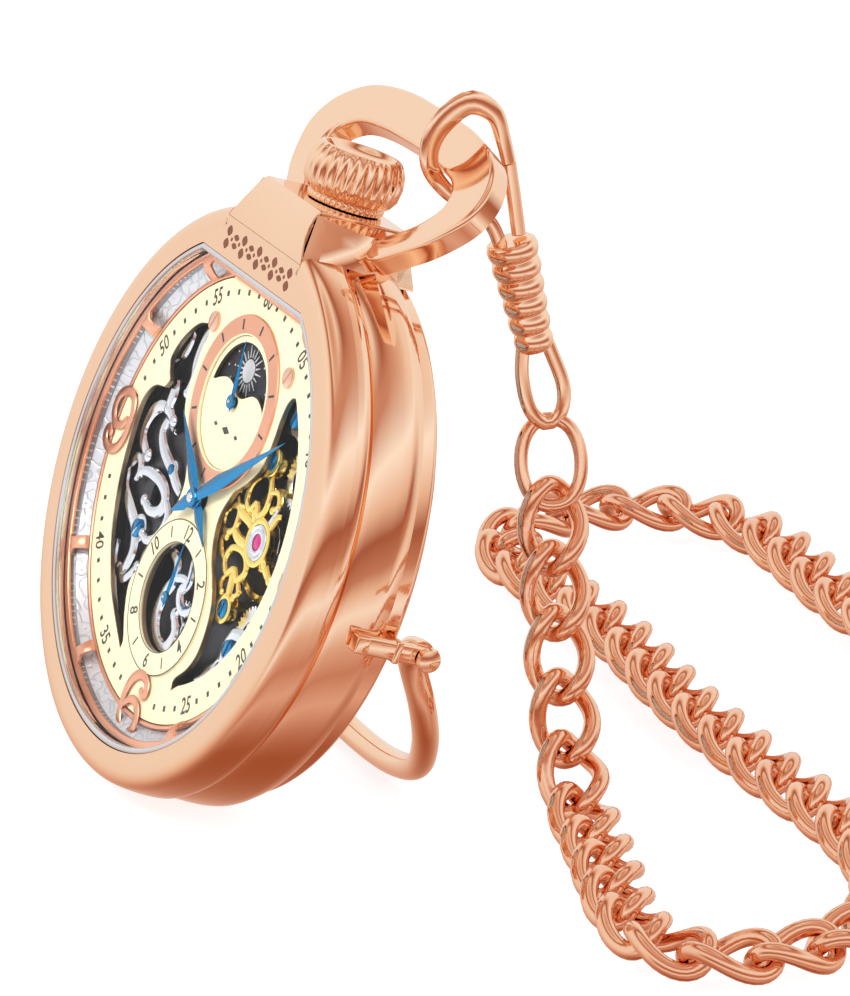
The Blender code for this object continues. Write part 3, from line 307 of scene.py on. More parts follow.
def flowing(points, spacing, closed=False):
    """Evenly spaced points on one smooth curve through the given ones."""
    points = [Vector(p).to_3d() if len(p) == 2 else Vector(p) for p in points]
    if closed:
        ends = points[-1:] + points + points[:2]
    else:
        ends = [2 * points[0] - points[1]] + points + [2 * points[-1] - points[-2]]
    fine = []
    for before, here, after, later in zip(ends, ends[1:], ends[2:], ends[3:]):
        for i in range(12):
            t = i / 12
            fine.append(0.5 * (2 * here + (after - before) * t
                + (2 * before - 5 * here + 4 * after - later) * t ** 2
                               + (3 * here - 3 * after + later - before) * t ** 3))
    fine.append(points[0] if closed else points[-1])
    total = sum((b - a).length for a, b in zip(fine, fine[1:]))
    count = max(2, round(total / spacing))
    step, run, kept = total / count, 0.0, [fine[0]]
    for a, b in zip(fine, fine[1:]):
        length = (b - a).length
        while run + length >= step * len(kept) and len(kept) < count:
            kept.append(a.lerp(b, (step * len(kept) - run) / length))
        run += length
    return kept if closed else kept + [fine[-1]]


def add_lathe(shape, profile, steps=128, first=0.0, sweep=360.0, closed=True, where=None):
    """Spins a profile of (radius, height) points about z, and caps the ends of a part turn."""
    points = [shape.verts.new((r, 0, h)) for r, h in profile]
    edges = [shape.edges.new(pair) for pair in zip(points, points[1:])]
    if closed and profile[0][0] > 0:
        edges.append(shape.edges.new((points[-1], points[0])))
    bmesh.ops.rotate(shape, verts=points, cent=(0, 0, 0), matrix=turn(first, "Z"))
    whole = sweep >= 360
    if not whole:
        bmesh.ops.contextual_create(shape, geom=edges)
    spun = bmesh.ops.spin(shape, geom=points + edges, cent=(0, 0, 0), axis=(0, 0, 1), dvec=(0, 0, 0),
                          angle=math.radians(sweep), steps=steps, use_merge=whole, use_duplicate=False)
    if not whole:
        last = [item for item in spun["geom_last"] if isinstance(item, bmesh.types.BMEdge)]
        bmesh.ops.contextual_create(shape, geom=last)
    bmesh.ops.remove_doubles(shape, verts=shape.verts, dist=1e-5)
    return shape


def lathe(profile, steps=128, **more):
    return add_lathe(bmesh.new(), profile, steps, **more)


def add_slab(shape, outlines, low, high, rounding=0.0, segments=2, side=None):
    """Fills flat outlines, the later ones holes, and extrudes them from high down to low."""
    before = set(shape.verts)
    edges = []
    for outline in outlines:
        points = [shape.verts.new((p[0], p[1], high)) for p in outline]
        edges += [shape.edges.new((points[i - 1], points[i])) for i in range(len(points))]
    top = bmesh.ops.triangle_fill(shape, use_beauty=True, use_dissolve=False, edges=edges, normal=(0, 0, 1))
    top_faces = [item for item in top["geom"] if isinstance(item, bmesh.types.BMFace)]
    grown = bmesh.ops.extrude_face_region(shape, geom=top_faces, use_keep_orig=True)
    moved = [item for item in grown["geom"] if isinstance(item, bmesh.types.BMVert)]
    bmesh.ops.translate(shape, verts=moved, vec=(0, 0, low - high))
    if rounding:
        rim = [e for e in edges if e.is_valid]
        bmesh.ops.bevel(shape, geom=rim, offset=rounding, segments=segments, profile=0.5, affect="EDGES",
                        material=-1, clamp_overlap=False)
    if side is not None:
        for face in {f for v in shape.verts if v not in before for f in v.link_faces}:
            middle = face.calc_center_median().z
            if middle < high - 1e-4:
                face.material_index = side
    return shape


def slab(outlines, low, high, rounding=0.0, segments=2, side=None):
    return add_slab(bmesh.new(), outlines, low, high, rounding, segments, side)


def add_sweep(shape, stations, sides=12, closed=False, power=1.0):
    """Extrudes a ring of points from matrix to matrix. Each matrix carries place, turn and half sizes."""
    ring = bmesh.ops.create_circle(shape, cap_ends=False, segments=sides, radius=1,
                                   matrix=Matrix.Identity(4))["verts"]
    if power != 1.0:
        for v in ring:
            v.co.x = math.copysign(abs(v.co.x) ** power, v.co.x)
            v.co.y = math.copysign(abs(v.co.y) ** power, v.co.y)
    edges = list({e for v in ring for e in v.link_edges})
    first_edges = edges
    bmesh.ops.transform(shape, matrix=stations[0], verts=ring)
    before = stations[0]
    for station in list(stations[1:]) + ([stations[0]] if closed else []):
        grown = bmesh.ops.extrude_edge_only(shape, edges=edges)["geom"]
        ring = [g for g in grown if isinstance(g, bmesh.types.BMVert)]
        edges = [g for g in grown if isinstance(g, bmesh.types.BMEdge) and all(v in ring for v in g.verts)]
        bmesh.ops.transform(shape, matrix=station @ before.inverted(), verts=ring)
        before = station
    if closed:
        bmesh.ops.remove_doubles(shape, verts=shape.verts, dist=1e-4)
    else:
        for loop in (first_edges, edges):
            bmesh.ops.contextual_create(shape, geom=loop)
    return shape


def along(points, wide, thick=None, closed=False, up=(0, 0, 1)):
    """Matrices along a path. wide and thick are half sizes, or functions of the share of the way."""
    points = [Vector(p).to_3d() if len(p) == 2 else Vector(p) for p in points]
    count, made = len(points), []
    for i, here in enumerate(points):
        before = points[i - 1] if i or closed else here
        after = points[(i + 1) % count] if i < count - 1 or closed else here
        forward = (after - before).normalized()
        share = i / max(1, count - 1)
        top = up(share) if callable(up) else up
        across = forward.cross(Vector(top)).normalized()
        rise = across.cross(forward)
        half = wide(share) if callable(wide) else wide
        deep = half if thick is None else (thick(share) if callable(thick) else thick)
        turned = Matrix((across, rise, -forward)).transposed().to_4x4()
        made.append(Matrix.Translation(here) @ turned @ Matrix.Diagonal((half, deep, half, 1)))
    return made


def piece(name, shape, look, body, where=DIAL, instead=(), angle=38, level=True):
    """Turns a bmesh into a finished piece of the watch that rides on a body."""
    bmesh.ops.transform(shape, matrix=where, verts=shape.verts)
    bmesh.ops.recalc_face_normals(shape, faces=shape.faces)
    data = bpy.data.meshes.new(name)
    shape.to_mesh(data)
    shape.free()
    for each in (look if isinstance(look, (list, tuple)) else [look]):
        data.materials.append(each)
    data.shade_smooth()
    data.set_sharp_from_angle(angle=math.radians(angle))
    made = bpy.data.objects.new(name, data)
    bpy.context.scene.collection.objects.link(made)
    if level:
        flat = made.modifiers.new("level_faces", "WEIGHTED_NORMAL")
        flat.keep_sharp = True
    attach(made, body)
    if instead:
        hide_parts(*([instead] if isinstance(instead, str) else instead))
    return made


print("makers ready")

# %% [markdown]
# ## The chain
# A curb chain's links are ovals given a quarter twist, so that each lies flat against the next.
# One link is swept once. A copy is then set at every step of the chain's own line, turned to lie
# along it. The line hangs from the clasp, reaches the table and makes two loose loops on it.

# %% Chain line and one link
CHAIN_LINE = (
    (8.2, 26.9, 28.9), (9.6, 26.5, 25.6), (12.0, 25.4, 21.0), (15.0, 24.4, 14.8), (18.2, 23.5, 8.6),
    (22.6, 22.3, 4.3), (27.8, 20.9, 3.05), (33.7, 19.4, 3.0), (41.5, 16.9, 3.0), (48.5, 15.3, 3.0),
    (53.6, 17.0, 3.0), (56.3, 21.8, 3.0), (56.4, 27.4, 3.0), (53.6, 33.4, 3.0), (46.8, 37.6, 3.0),
    (37.2, 39.3, 3.0), (27.4, 39.2, 3.0), (16.1, 39.3, 3.0), (5.1, 39.9, 3.0), (-6.2, 41.2, 3.0),
    (-17.6, 41.4, 3.0), (-28.2, 40.4, 3.0), (-34.4, 43.6, 3.0), (-36.6, 50.0, 3.0), (-35.4, 56.8, 3.0),
    (-31.0, 61.8, 3.0), (-24.4, 63.6, 3.0), (-16.0, 63.2, 3.0), (-5.7, 62.4, 3.0), (6.0, 62.8, 3.0),
    (18.0, 64.4, 3.0), (30.0, 66.0, 3.0), (42.0, 65.6, 3.0), (53.0, 62.2, 3.0), (62.0, 56.0, 3.0),
    (70.0, 49.0, 3.0), (79.0, 44.6, 3.0), (89.0, 43.4, 3.0), (99.0, 44.4, 3.0),
)
LINK_STEP, LINK_WIRE, LINK_TWIST = 5.2, 0.72, 50


def link_points(half_length, half_width, twist, count=36):
    """A rounded oval whose two ends are turned opposite ways about the chain's line."""
    points = []
    for i in range(count):
        a = math.tau * i / count
        x = half_length * math.cos(a)
        y = half_width * math.copysign(abs(math.sin(a)) ** 0.85, math.sin(a))
        turned = math.radians(twist) * x / half_length
        points.append((x, y * math.cos(turned), y * math.sin(turned)))
    return points


def link_mesh(name, half_length, half_width, wire, twist):
    shape = bmesh.new()
    route = link_points(half_length, half_width, twist)
    add_sweep(shape, along(route, wire, closed=True, up=(0.02, 0.03, 1)), sides=12, closed=True)
    data = bpy.data.meshes.new(name)
    shape.to_mesh(data)
    shape.free()
    return data


first_link = link_mesh("first_link", 3.55, 2.45, 0.58, 0)
curb_link = link_mesh("curb_link", 3.5, 2.22, LINK_WIRE, LINK_TWIST)
print("one link has", len(curb_link.polygons), "faces")

# %% Set the links along the line
route = flowing(CHAIN_LINE, LINK_STEP)
chain = bmesh.new()
for i, (here, after) in enumerate(zip(route, route[1:])):
    forward = (after - here).normalized()
    across = Vector((0, 0, 1)).cross(forward).normalized()
    lay = Matrix((forward, across, forward.cross(across))).transposed().to_4x4()
    known = len(chain.verts)
    chain.from_mesh(first_link if i == 0 else curb_link)
    chain.verts.ensure_lookup_table()
    bmesh.ops.transform(chain, matrix=Matrix.Translation((here + after) / 2) @ lay, verts=chain.verts[known:])
bpy.data.meshes.remove(first_link)
bpy.data.meshes.remove(curb_link)
chain_piece = piece("curb_chain", chain, LINK, "clasp", CHAIN, "chain", level=False)
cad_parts["chain_t_bar"].data.materials.clear()
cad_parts["chain_t_bar"].data.materials.append(LINK)

# %% [markdown]
# ## The clasp
# The clasp is a hook of flattened wire with a sprung gate, a turned barrel with swelling ribs that
# holds both wires, and a long loop below for the first link. Sweeps make the wires, and a lathe
# the barrel, whose ribs are rounded rather than sharp so that each one holds its own highlight.

# %% Clasp
hook = [(7.0, 23.2, 44.4), (6.85, 21.9, 47.1), (6.5, 18.5, 49.8), (6.3, 17.05, 52.4), (6.2, 17.9, 55.0),
        (6.2, 20.5, 56.75), (6.3, 22.7, 55.7), (6.4, 23.5, 53.4), (6.6, 23.9, 51.5)]
shape = add_sweep(bmesh.new(), along(flowing(hook, 0.6),
                                     lambda s: 0.62 + 0.5 * math.exp(-((s - 0.62) / 0.2) ** 2),
                                     0.5, up=(1, 0.2, 0)), sides=16)
piece("hook_wire", shape, ROSE, "clasp", CHAIN, "clasp_hook", level=False)
gate = [(6.6, 23.93, 51.42), (6.75, 24.3, 48.6), (6.95, 24.65, 45.5)]
shape = add_sweep(bmesh.new(), along(flowing(gate, 0.8), 0.6, up=(1, 0.2, 0)), sides=16)
piece("gate_wire", shape, ROSE, "gate", CHAIN, "clasp_gate", level=False)

BARREL_TOP, BARREL_FOOT = Vector((7.0, 23.9, 45.1)), Vector((7.6, 25.9, 35.8))
barrel_line = BARREL_FOOT - BARREL_TOP
ribs = 6
profile = [(0, 0), (1.5, 0)]
for i in range(ribs):
    wide = 2.12 - 0.1 * i
    top = -barrel_line.length * i / ribs
    tall = barrel_line.length / ribs
    profile += [(wide - 0.3, top - 0.02 * tall), (wide - 0.1, top - 0.12 * tall), (wide, top - 0.4 * tall),
                (wide - 0.02, top - 0.62 * tall), (wide - 0.16, top - 0.86 * tall), (wide - 0.42,
                                                                                     top - 0.97 * tall)]
profile += [(1.2, -barrel_line.length), (0, -barrel_line.length)]
upright = Matrix.Translation(BARREL_TOP) @ (-barrel_line).to_track_quat("Z", "Y").to_matrix().to_4x4()
piece("barrel_ribs", lathe(profile, 64, closed=False), ROSE, "clasp", CHAIN @ upright, "clasp_barrel",
      angle=60, level=False)
loop = [(7.5, 24.8, 36.2), (7.6, 24.7, 33.6), (7.85, 25.3, 30.8), (8.05, 26.65, 29.5), (8.2, 27.9, 30.3),
        (8.05, 28.15, 32.6), (7.75, 26.9, 36.2)]
shape = add_sweep(bmesh.new(), along(flowing(loop, 0.6), 0.62, 0.52, up=(1, 0.2, 0)), sides=16)
piece("chain_loop", shape, ROSE, "clasp", CHAIN, "clasp_ring", level=False)
print("clasp made")

# %% [markdown]
# ## The case
# The bezel is turned, but its opening has a flat across the top and the pendant stands in a notch.
# So its rounded outer part is a lathe profile swept most of the way round, and its flat inner part
# is a slab whose outline has the chord. Both end on one level, so no seam shows between them.

# %% Bezel
BEZEL_TOP, CHORD, OPENING = 2.35, 18.7, 21.15
NOTCH, NOTCH_FOOT, JOIN = 7.2, 21.9, 22.2
open_angle = math.degrees(math.asin(NOTCH / 23.2))
bezel_profile = [(JOIN, BEZEL_TOP), (22.7, BEZEL_TOP), (23.05, 2.31), (23.35, 2.22), (23.58, 2.08),
                 (23.74, 1.9),
                 (23.86, 1.68), (23.95, 1.4), (24.03, 1.0), (24.1, 0.5), (24.15, 0.0), (23.9, -0.02), (JOIN,
                                                                                                       -0.02)]
shape = lathe(bezel_profile, 220, first=90 - open_angle, sweep=-(360 - 2 * open_angle))
half_angle = math.degrees(math.acos(CHORD / OPENING))
inside = arc(OPENING, half_angle, 360 - half_angle, 150)
join_angle = math.degrees(math.asin(NOTCH / JOIN))
outside = arc(JOIN, join_angle, 360 - join_angle, 150) + [(-NOTCH, NOTCH_FOOT), (NOTCH, NOTCH_FOOT)]
add_slab(shape, [outside, inside], 0.3, BEZEL_TOP)
piece("bezel_turned", shape, ROSE, "case", DIAL, "bezel", angle=42)


def opening(radius, chord, points=150):
    half = math.degrees(math.acos(chord / radius))
    return arc(radius, half, 360 - half, points)


# %% [markdown]
# A row of small leaves fills the flat above the glass. They are plain lens shapes that sit a hair
# proud of the flat, in a dark rose that is painted shade standing in for shallow engraved recesses, so the
# flat is not bare and carries no lettering.

# %% Leaves with painted engraving shade
shape = bmesh.new()
for i in range(-4, 5):
    x, tall = 1.5 * i, 1.0 if i % 2 == 0 else 0.62
    for low, high, wide in ((0.08, tall, 0.46), (-tall, -0.08, 0.46)):
        middle, reach = 20.3 + (low + high) / 2, (high - low) / 2
        add_slab(shape, [[(x + wide * math.sin(a),
                           middle + reach * math.cos(a) * (1 - 0.35 * abs(math.sin(a))))
                          for a in (math.tau * k / 20 for k in range(20))]],
                              BEZEL_TOP - 0.05, BEZEL_TOP + 0.012)
    if i < 4:
        add_slab(shape, [circle(x + 0.75, 20.3, 0.17, 12)], BEZEL_TOP - 0.05, BEZEL_TOP + 0.012)
# The leaves' dark rose is painted shade, standing in for the shade inside engraved cuts.
ROSE_LEAF_PAINTED_SHADE = metal("rose_leaf_painted_shade", (0.36, 0.13, 0.07), 0.3, 0.1, 1.0, 1800, 0.3, shade=(0.25, 0.08, 0.04))
piece("bezel_leaves", shape, ROSE_LEAF_PAINTED_SHADE, "case", level=False)

# %% Middle of the case and rear bezel
mid_profile = [(21.95, 0.0), (24.15, 0.0), (24.18, -0.5), (24.18, -0.95), (24.08, -1.12), (23.4, -1.16),
               (23.35, -1.55),
               (23.62, -1.7), (23.8, -2.2), (23.95, -3.2), (24.03, -4.2), (24.05, -5.0), (24.0, -5.6), (23.6,
                                                                                                        -6.3),
               (23.0, -6.6), (21.95, -6.6)]
piece("mid_case_turned", lathe(mid_profile, 256), ROSE, "case", DIAL, "mid_case", angle=32)
rear_profile = [(22.7, -6.66), (22.72, -7.75), (22.66, -7.95), (22.5, -8.15), (22.0, -8.5), (21.6, -8.72),
                (21.2, -8.75),
                (18.85, -8.75), (17.45, -8.55), (17.45, -8.15), (18.2, -8.1), (18.2, -6.66)]
piece("rear_bezel_turned", lathe(rear_profile, 256), ROSE, "case", DIAL, "rear_bezel", angle=32)
rim_profile_outer, rim_inner = opening(21.12, CHORD - 0.03), opening(20.62, CHORD - 0.55)
piece("bright_rim", slab([rim_profile_outer, rim_inner], 1.35, BEZEL_TOP - 0.02, 0.16, 3), STEEL, "case",
      DIAL,
      "crystal_rim")
piece("front_glass", slab([opening(20.6, CHORD - 0.6)], 1.36, 2.02, 0.12, 2), GLASS, "case", DIAL,
      "front_crystal")
piece("rear_glass", lathe([(0, -7.3), (18.0, -7.3), (18.15, -7.38), (18.15, -8.02), (0, -8.02)], 128,
                          closed=False),
      GLASS, "case", DIAL, "rear_crystal")
print("case made")

# %% [markdown]
# ## Pendant, crown and bow
# The pendant is a tapering block with hollow shoulders: a face extruded up in steps. The lugs that
# hold the bow are convex hulls of a few points, which gives flat polished facets and crisp ridges.

# %% Pendant
shape = bmesh.new()
levels = ((21.93, 7.2, 2.35, -8.1), (22.4, 7.02, 2.31, -8.0), (23.1, 6.55, 2.22, -7.85),
          (23.9, 6.05, 2.06, -7.7),
          (24.7, 5.72, 1.84, -7.5), (25.4, 5.55, 1.58, -7.35), (25.85, 5.45, 1.32, -7.25), (26.1, 5.3, 1.05,
                                                                                            -7.1))
foot = [shape.verts.new((x, levels[0][0], z)) for x,
        z in ((7.2, 2.35), (7.2, -8.1), (-7.2, -8.1), (-7.2, 2.35))]
top = shape.faces.new(foot)
low_face = top
for y1, h1, f1, b1 in levels[1:]:
    grown = bmesh.ops.extrude_face_region(shape, geom=[top], use_keep_orig=top is low_face)["geom"]
    moved = [g for g in grown if isinstance(g, bmesh.types.BMVert)]
    for v in moved:
        v.co = Vector((math.copysign(h1, v.co.x), y1, f1 if v.co.z > -3 else b1))
    top = [g for g in grown if isinstance(g, bmesh.types.BMFace)][0]
ridge = [e for e in shape.edges if all(v.co.z > 0 for v in e.verts)
    and abs(e.verts[0].co.x - e.verts[1].co.x) < 1]
bmesh.ops.bevel(shape, geom=ridge, offset=0.22, segments=3, profile=0.5, affect="EDGES", material=-1)
for side in (-1, 1):
    points = [(7.2, 21.95, 2.33), (7.2, 22.0, -6.5), (5.47, 25.8, 1.3), (5.1, 26.0, 0.2), (5.1, 26.0, -6.4),
              (8.1, 22.9, -0.3), (7.8, 24.4, -1.6), (7.0, 25.4, -2.0), (7.0, 25.4, -5.7), (7.05, 22.6, -5.8),
              (8.3, 22.7, -1.7), (7.9, 22.6, 1.2), (7.3, 23.8, 1.0), (6.5, 24.9, 0.7)]
    corners = [shape.verts.new((side * x, y, z)) for x, y, z in points]
    hull = bmesh.ops.convex_hull(shape, input=corners)
    bmesh.ops.delete(shape, geom=list({v for v in hull["geom_interior"] + hull["geom_unused"]
                                       if isinstance(v, bmesh.types.BMVert)}), context="VERTS")
bmesh.ops.delete(shape, geom=[v for v in shape.verts if not v.link_faces], context="VERTS")
piece("pendant_block", shape, ROSE, "case", DIAL, "pendant", angle=24)

# %% Crown, its collar and the stem
CROWN_BASE, CROWN_RIBS = 26.8, 28
shape = bmesh.new()
section = ((0.0, 3.3, 0.0), (0.25, 3.6, 0.10), (0.9, 3.98, 0.26), (2.0, 4.1, 0.3), (3.0, 3.96, 0.26),
           (3.55, 3.68, 0.14), (3.92, 3.4, 0.0), (4.0, 3.18, 0.0), (3.96, 2.98, 0.0), (3.65, 2.8, 0.0),
           (3.3, 1.9, 0.0), (3.25, 0.02, 0.0))
ring = bmesh.ops.create_circle(shape, cap_ends=True, segments=8 * CROWN_RIBS, radius=1)["verts"]
edges = list({e for v in ring for e in v.link_edges})
for i, (level_z, radius, cut_depth) in enumerate(section):
    if i:
        grown = bmesh.ops.extrude_edge_only(shape, edges=edges)["geom"]
        ring = [g for g in grown if isinstance(g, bmesh.types.BMVert)]
        edges = [g for g in grown if isinstance(g, bmesh.types.BMEdge) and all(v in ring for v in g.verts)]
    for v in ring:
        a = math.atan2(v.co.y, v.co.x)
        wave = 0.5 - 0.5 * math.cos(CROWN_RIBS * a)
        r = radius - cut_depth * (1 - wave) ** 1.4
        v.co = Vector((r * math.cos(a), r * math.sin(a), level_z))
bmesh.ops.contextual_create(shape, geom=edges)
piece("ribbed_crown", shape, ROSE, "crown_knob", STEM @ shift(0, 0, CROWN_BASE), "crown",
      angle=50,
      level=False)
shape = bmesh.new()
ring = bmesh.ops.create_circle(shape, cap_ends=False, segments=4 * 40, radius=1)["verts"]
edges = list({e for v in ring for e in v.link_edges})
for i, (level_z, radius, cut_depth) in enumerate(((26.12, 0.8, 0), (26.12, 2.7, 0.0), (26.2, 3.15, 0.1),
                                                  (26.6, 3.25, 0.1),
                                                  (26.76, 3.1, 0.0), (26.76, 0.8, 0))):
    if i:
        grown = bmesh.ops.extrude_edge_only(shape, edges=edges)["geom"]
        ring = [g for g in grown if isinstance(g, bmesh.types.BMVert)]
        edges = [g for g in grown if isinstance(g, bmesh.types.BMEdge) and all(v in ring for v in g.verts)]
    for v in ring:
        a = math.atan2(v.co.y, v.co.x)
        r = radius - cut_depth * (0.5 + 0.5 * math.cos(40 * a))
        v.co = Vector((r * math.cos(a), r * math.sin(a), level_z))
piece("crown_collar_ribbed", shape, ROSE, "crown_slide", STEM, "crown_collar", angle=50,
      level=False)
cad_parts["winding_stem"].data.materials.clear()
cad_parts["winding_stem"].data.materials.append(STEEL)

# %% Bow
outer = [(8.0, -1.0), (8.8, -0.95), (10.2, 0.2), (13.0, 2.7), (15.0, 6.0), (14.4, 9.0), (11.4, 11.4),
         (6.2, 12.5), (0, 12.7)]
inner = [(0, 8.8), (5.5, 8.6), (9.2, 7.9), (10.9, 6.1), (10.2, 3.9), (8.6, 2.2), (7.35, 1.2), (7.15, 0),
         (7.15, -0.8),
         (8.0, -1.0)]
half = [(p.x, p.y) for p in flowing(outer, 0.5)]
inside = [(p.x, p.y) for p in flowing(inner, 0.5)][:-1]
outline = half + [(-x, y) for x, y in reversed(half[1:-1])] + [(-x, y) for x,
                                                               y in reversed(inside[1:])] + inside
shape = add_slab(bmesh.new(), [outline], -0.95, 0.95, 0.42, 4)
piece("bow_stirrup", shape, ROSE, "bow_ring", BOW, "bow", angle=40)
print("pendant, crown and bow made")

# %% [markdown]
# ## Dial
# The dial is one plate with a window each side of the two small dials. Its face is lacquered, and
# the wall of every window gets a second material: a dull dark gilt that is painted shade on the walls,
# darker than their bare metal. Each window is drawn as a few smooth runs, which keeps the corners between
# them sharp.

# %% Dial plate
def runs(*lines, spacing=0.3):
    """One outline from several smooth runs that share their end points."""
    made = []
    for line in lines:
        made += [(p.x, p.y) for p in flowing(line, spacing)][:-1]
    return made


left_window = runs(
    [(-8.5, 12.5), (-10.12, 12.0), (-11.58, 10.74), (-12.6, 9.27), (-12.97, 8.01), (-12.5, 7.1)],
    [(-12.5, 7.1), (-11.95, 6.45), (-12.45, 5.72)],
    [(-12.45, 5.72), (-13.93, 5.4), (-14.96, 4.61), (-15.56, 3.26), (-15.56, 1.18), (-15.25, -1.7),
     (-14.6, -4.3),
     (-13.2, -7.5), (-11.06, -10.24), (-9.6, -11.66), (-7.37, -13.29), (-5.3, -14.73)],
    [(-5.3, -14.73), (-5.3, -14.0), (-6.61, -12.05), (-7.45, -9.94), (-6.95, -8.5)],
    [(-6.95, -8.5), (-6.75, -6.9), (-5.9, -4.9), (-4.6, -3.3), (-3.9, -1.6), (-3.8, 0.2), (-4.73, 2.24)],
    [(-4.73, 2.24), (-6.7, 3.87), (-8.07, 5.7), (-8.36, 7.43), (-8.36, 8.8), (-8.37, 10.16), (-8.0, 11.7)],
    [(-8.0, 11.7), (-8.2, 12.3), (-8.5, 12.5)])
right_window = arc(15.2, 39, 155, 60) + runs(
    [clock_point(15.2, 156), (5.32, -14.6)],
    [(5.32, -14.6), (5.25, -13.68), (6.7, -12.3), (7.6, -10.5), (7.6, -8.0), (6.9, -6.2), (5.8, -4.7),
     (4.6, -3.3),
     (3.9, -1.6), (3.8, 0.2), (4.73, 2.24)],
    [(4.73, 2.24), (6.7, 3.87), (8.0, 5.7), (8.3, 8.12), (8.3, 9.45), (8.55, 11.0), (9.27, 11.9)])
UPPER, LOWER = (0, 8.4), (0, -8.5)
outlines = [circle(0, 0, 18.4, 200), left_window, right_window, circle(*UPPER, 5.55, 96),
            circle(*LOWER, 4.5, 96),
            circle(0, 0, 0.95, 32)]
# The walls of the openings take the painted shade material.
shape = slab(outlines, -0.42, 0, 0.05, 1, side=1)
piece("cream_dial", shape, [CREAM, WALL_PAINTED_SHADE], "case", DIAL, "dial_plate", angle=30, level=False)
piece("dial_edge_ring", lathe([(18.45, -0.4), (18.85, -0.4), (18.85, 0.04), (18.75, 0.12), (18.55, 0.12),
                               (18.45, 0.04)], 200),
      ROSE_SATIN, "case", DIAL, "dial_trim")
flange = [(21.1, -1.2), (18.9, -1.2), (18.9, -0.25), (19.0, -0.2), (19.9, 0.42), (20.0, 0.5), (20.1, 0.52),
          (20.35, 1.0),
          (21.1, 1.0)]
piece("silver_flange", lathe(flange, 220), ENGRAVED, "case", DIAL, "dial_flange", angle=25)
grey = lathe([(20.02, 0.5), (20.12, 0.56), (20.36, 1.02), (21.08, 1.02), (21.08, 0.5)], 200)
piece("flange_grey_band", grey, metal("grey_band", (0.33, 0.34, 0.36), 0.42, 0.1, 1.0, 1600, 0.2), "case")
print("dial plate made")

# %% [markdown]
# The hour frame stands up near the glass: a thin ring with a flared spoke at each hour between the
# quarters, and large open numerals at the quarters, which lie across the edge of the dial.

# %% Hour frame and quarter numerals
shape = bmesh.new()
add_slab(shape, [opening(20.55, 18.15), opening(19.95, 17.55)], 1.03, 1.27, 0.06, 1)
for hour in (1, 2, 4, 5, 7, 8, 10, 11):
    a = math.radians(30 * hour)
    spoke = bmesh.new()
    sides = [(-0.55, 18.5), (-0.52, 18.9), (-0.5, 19.4), (-0.7, 19.85), (-1.2, 20.2), (1.2, 20.2),
             (0.7, 19.85),
             (0.5, 19.4), (0.52, 18.9), (0.55, 18.5)]
    add_slab(spoke, [sides], 0.96, 1.24, 0.05, 1)
    for v in spoke.verts:
        if v.co.y < 19.2:
            v.co.z -= 0.72 * min(1.0, (19.2 - v.co.y) / 0.7)
    bmesh.ops.rotate(spoke, verts=spoke.verts, cent=(0, 0, 0), matrix=turn(-30 * hour, "Z"))
    held = bpy.data.meshes.new("spoke")
    spoke.to_mesh(held)
    spoke.free()
    shape.from_mesh(held)
    bpy.data.meshes.remove(held)
piece("hour_ring_and_spokes", shape, ROSE_SATIN, "case", DIAL, "hour_frame", level=False)


def stroke(shape, points, wide, thick, level, ends=0.4, sides=8, closed=False, power=1.0, spacing=0.25):
    """A flat band with rounded edges along a smooth line, narrowing towards its ends."""
    line = flowing([(p[0], p[1], p[2] if len(p) > 2 else level) for p in points], spacing, closed)
    slim = ((lambda s: wide) if closed
        else (lambda s: wide * (ends + (1 - ends) * math.sin(math.pi * s) ** 0.5)))
    return add_sweep(shape, along(line, slim, thick, closed), sides, closed, power)


def knob(shape, x, y, level, radius, high=0.2):
    made = bmesh.ops.create_uvsphere(shape, u_segments=14, v_segments=8, radius=1)["verts"]
    bmesh.ops.transform(shape, matrix=Matrix.Translation((x, y, level)) @ Matrix.Diagonal((radius, radius,
                                                                                           high, 1)),
                        verts=made)


numerals = {
    9: ([(1.55, -0.2), (1.9, 1.0), (1.3, 2.3), (0.0, 2.6), (-1.3, 1.9), (-1.5, 0.6), (-0.7, -0.35),
         (0.5, -0.25), (1.3, 0.6)],
        [(1.85, 1.1), (1.75, -0.6), (1.1, -1.9), (0.0, -2.5), (-1.2, -2.3), (-1.7, -1.5), (-1.3, -0.95),
         (-0.8, -1.3)]),
    6: ([(-1.55, -0.4), (-1.7, -1.3), (-0.9, -2.4), (0.3, -2.6), (1.4, -1.8), (1.4, -0.7), (0.6, 0.15),
         (-0.5, 0.1), (-1.3, -0.6)],
        [(-1.7, -1.2), (-1.75, 0.4), (-1.2, 1.7), (-0.1, 2.4), (1.1, 2.3), (1.7, 1.6), (1.4, 1.0),
         (0.8, 1.25)]),
    3: ([(-1.5, 1.5), (-0.9, 2.35), (0.3, 2.6), (1.3, 1.9), (1.2, 0.9), (0.4, 0.3), (-0.3, 0.2)],
        [(-0.3, 0.2), (0.9, 0.05), (1.6, -0.9), (1.3, -2.0), (0.2, -2.6), (-1.1, -2.3), (-1.6, -1.5),
         (-1.1, -1.0)]),
}
for number, (x, y) in ((9, (-17.75, 1.0)), (6, (0.2, -17.6)), (3, (18.5, 0.4))):
    shape = bmesh.new()
    for band in numerals[number]:
        stroke(shape, [(x + px * (0.7 if number == 3 else 1), y + py) for px, py in band], 0.43, 0.1, 0.24,
               0.6, power=0.7, spacing=0.2)
    tip = numerals[number][1][-1]
    knob(shape, x + tip[0], y + tip[1], 0.24, 0.36, 0.12)
    piece(f"quarter_numeral_{number}", shape, ROSE_SATIN, "case", level=False)
print("hour frame made")

# %% [markdown]
# ## Print
# Numbers are letters turned to mesh and stamped into one bmesh. They stand with their heads
# outward in the upper half of the dial and inward in the lower half, so that all can be read.

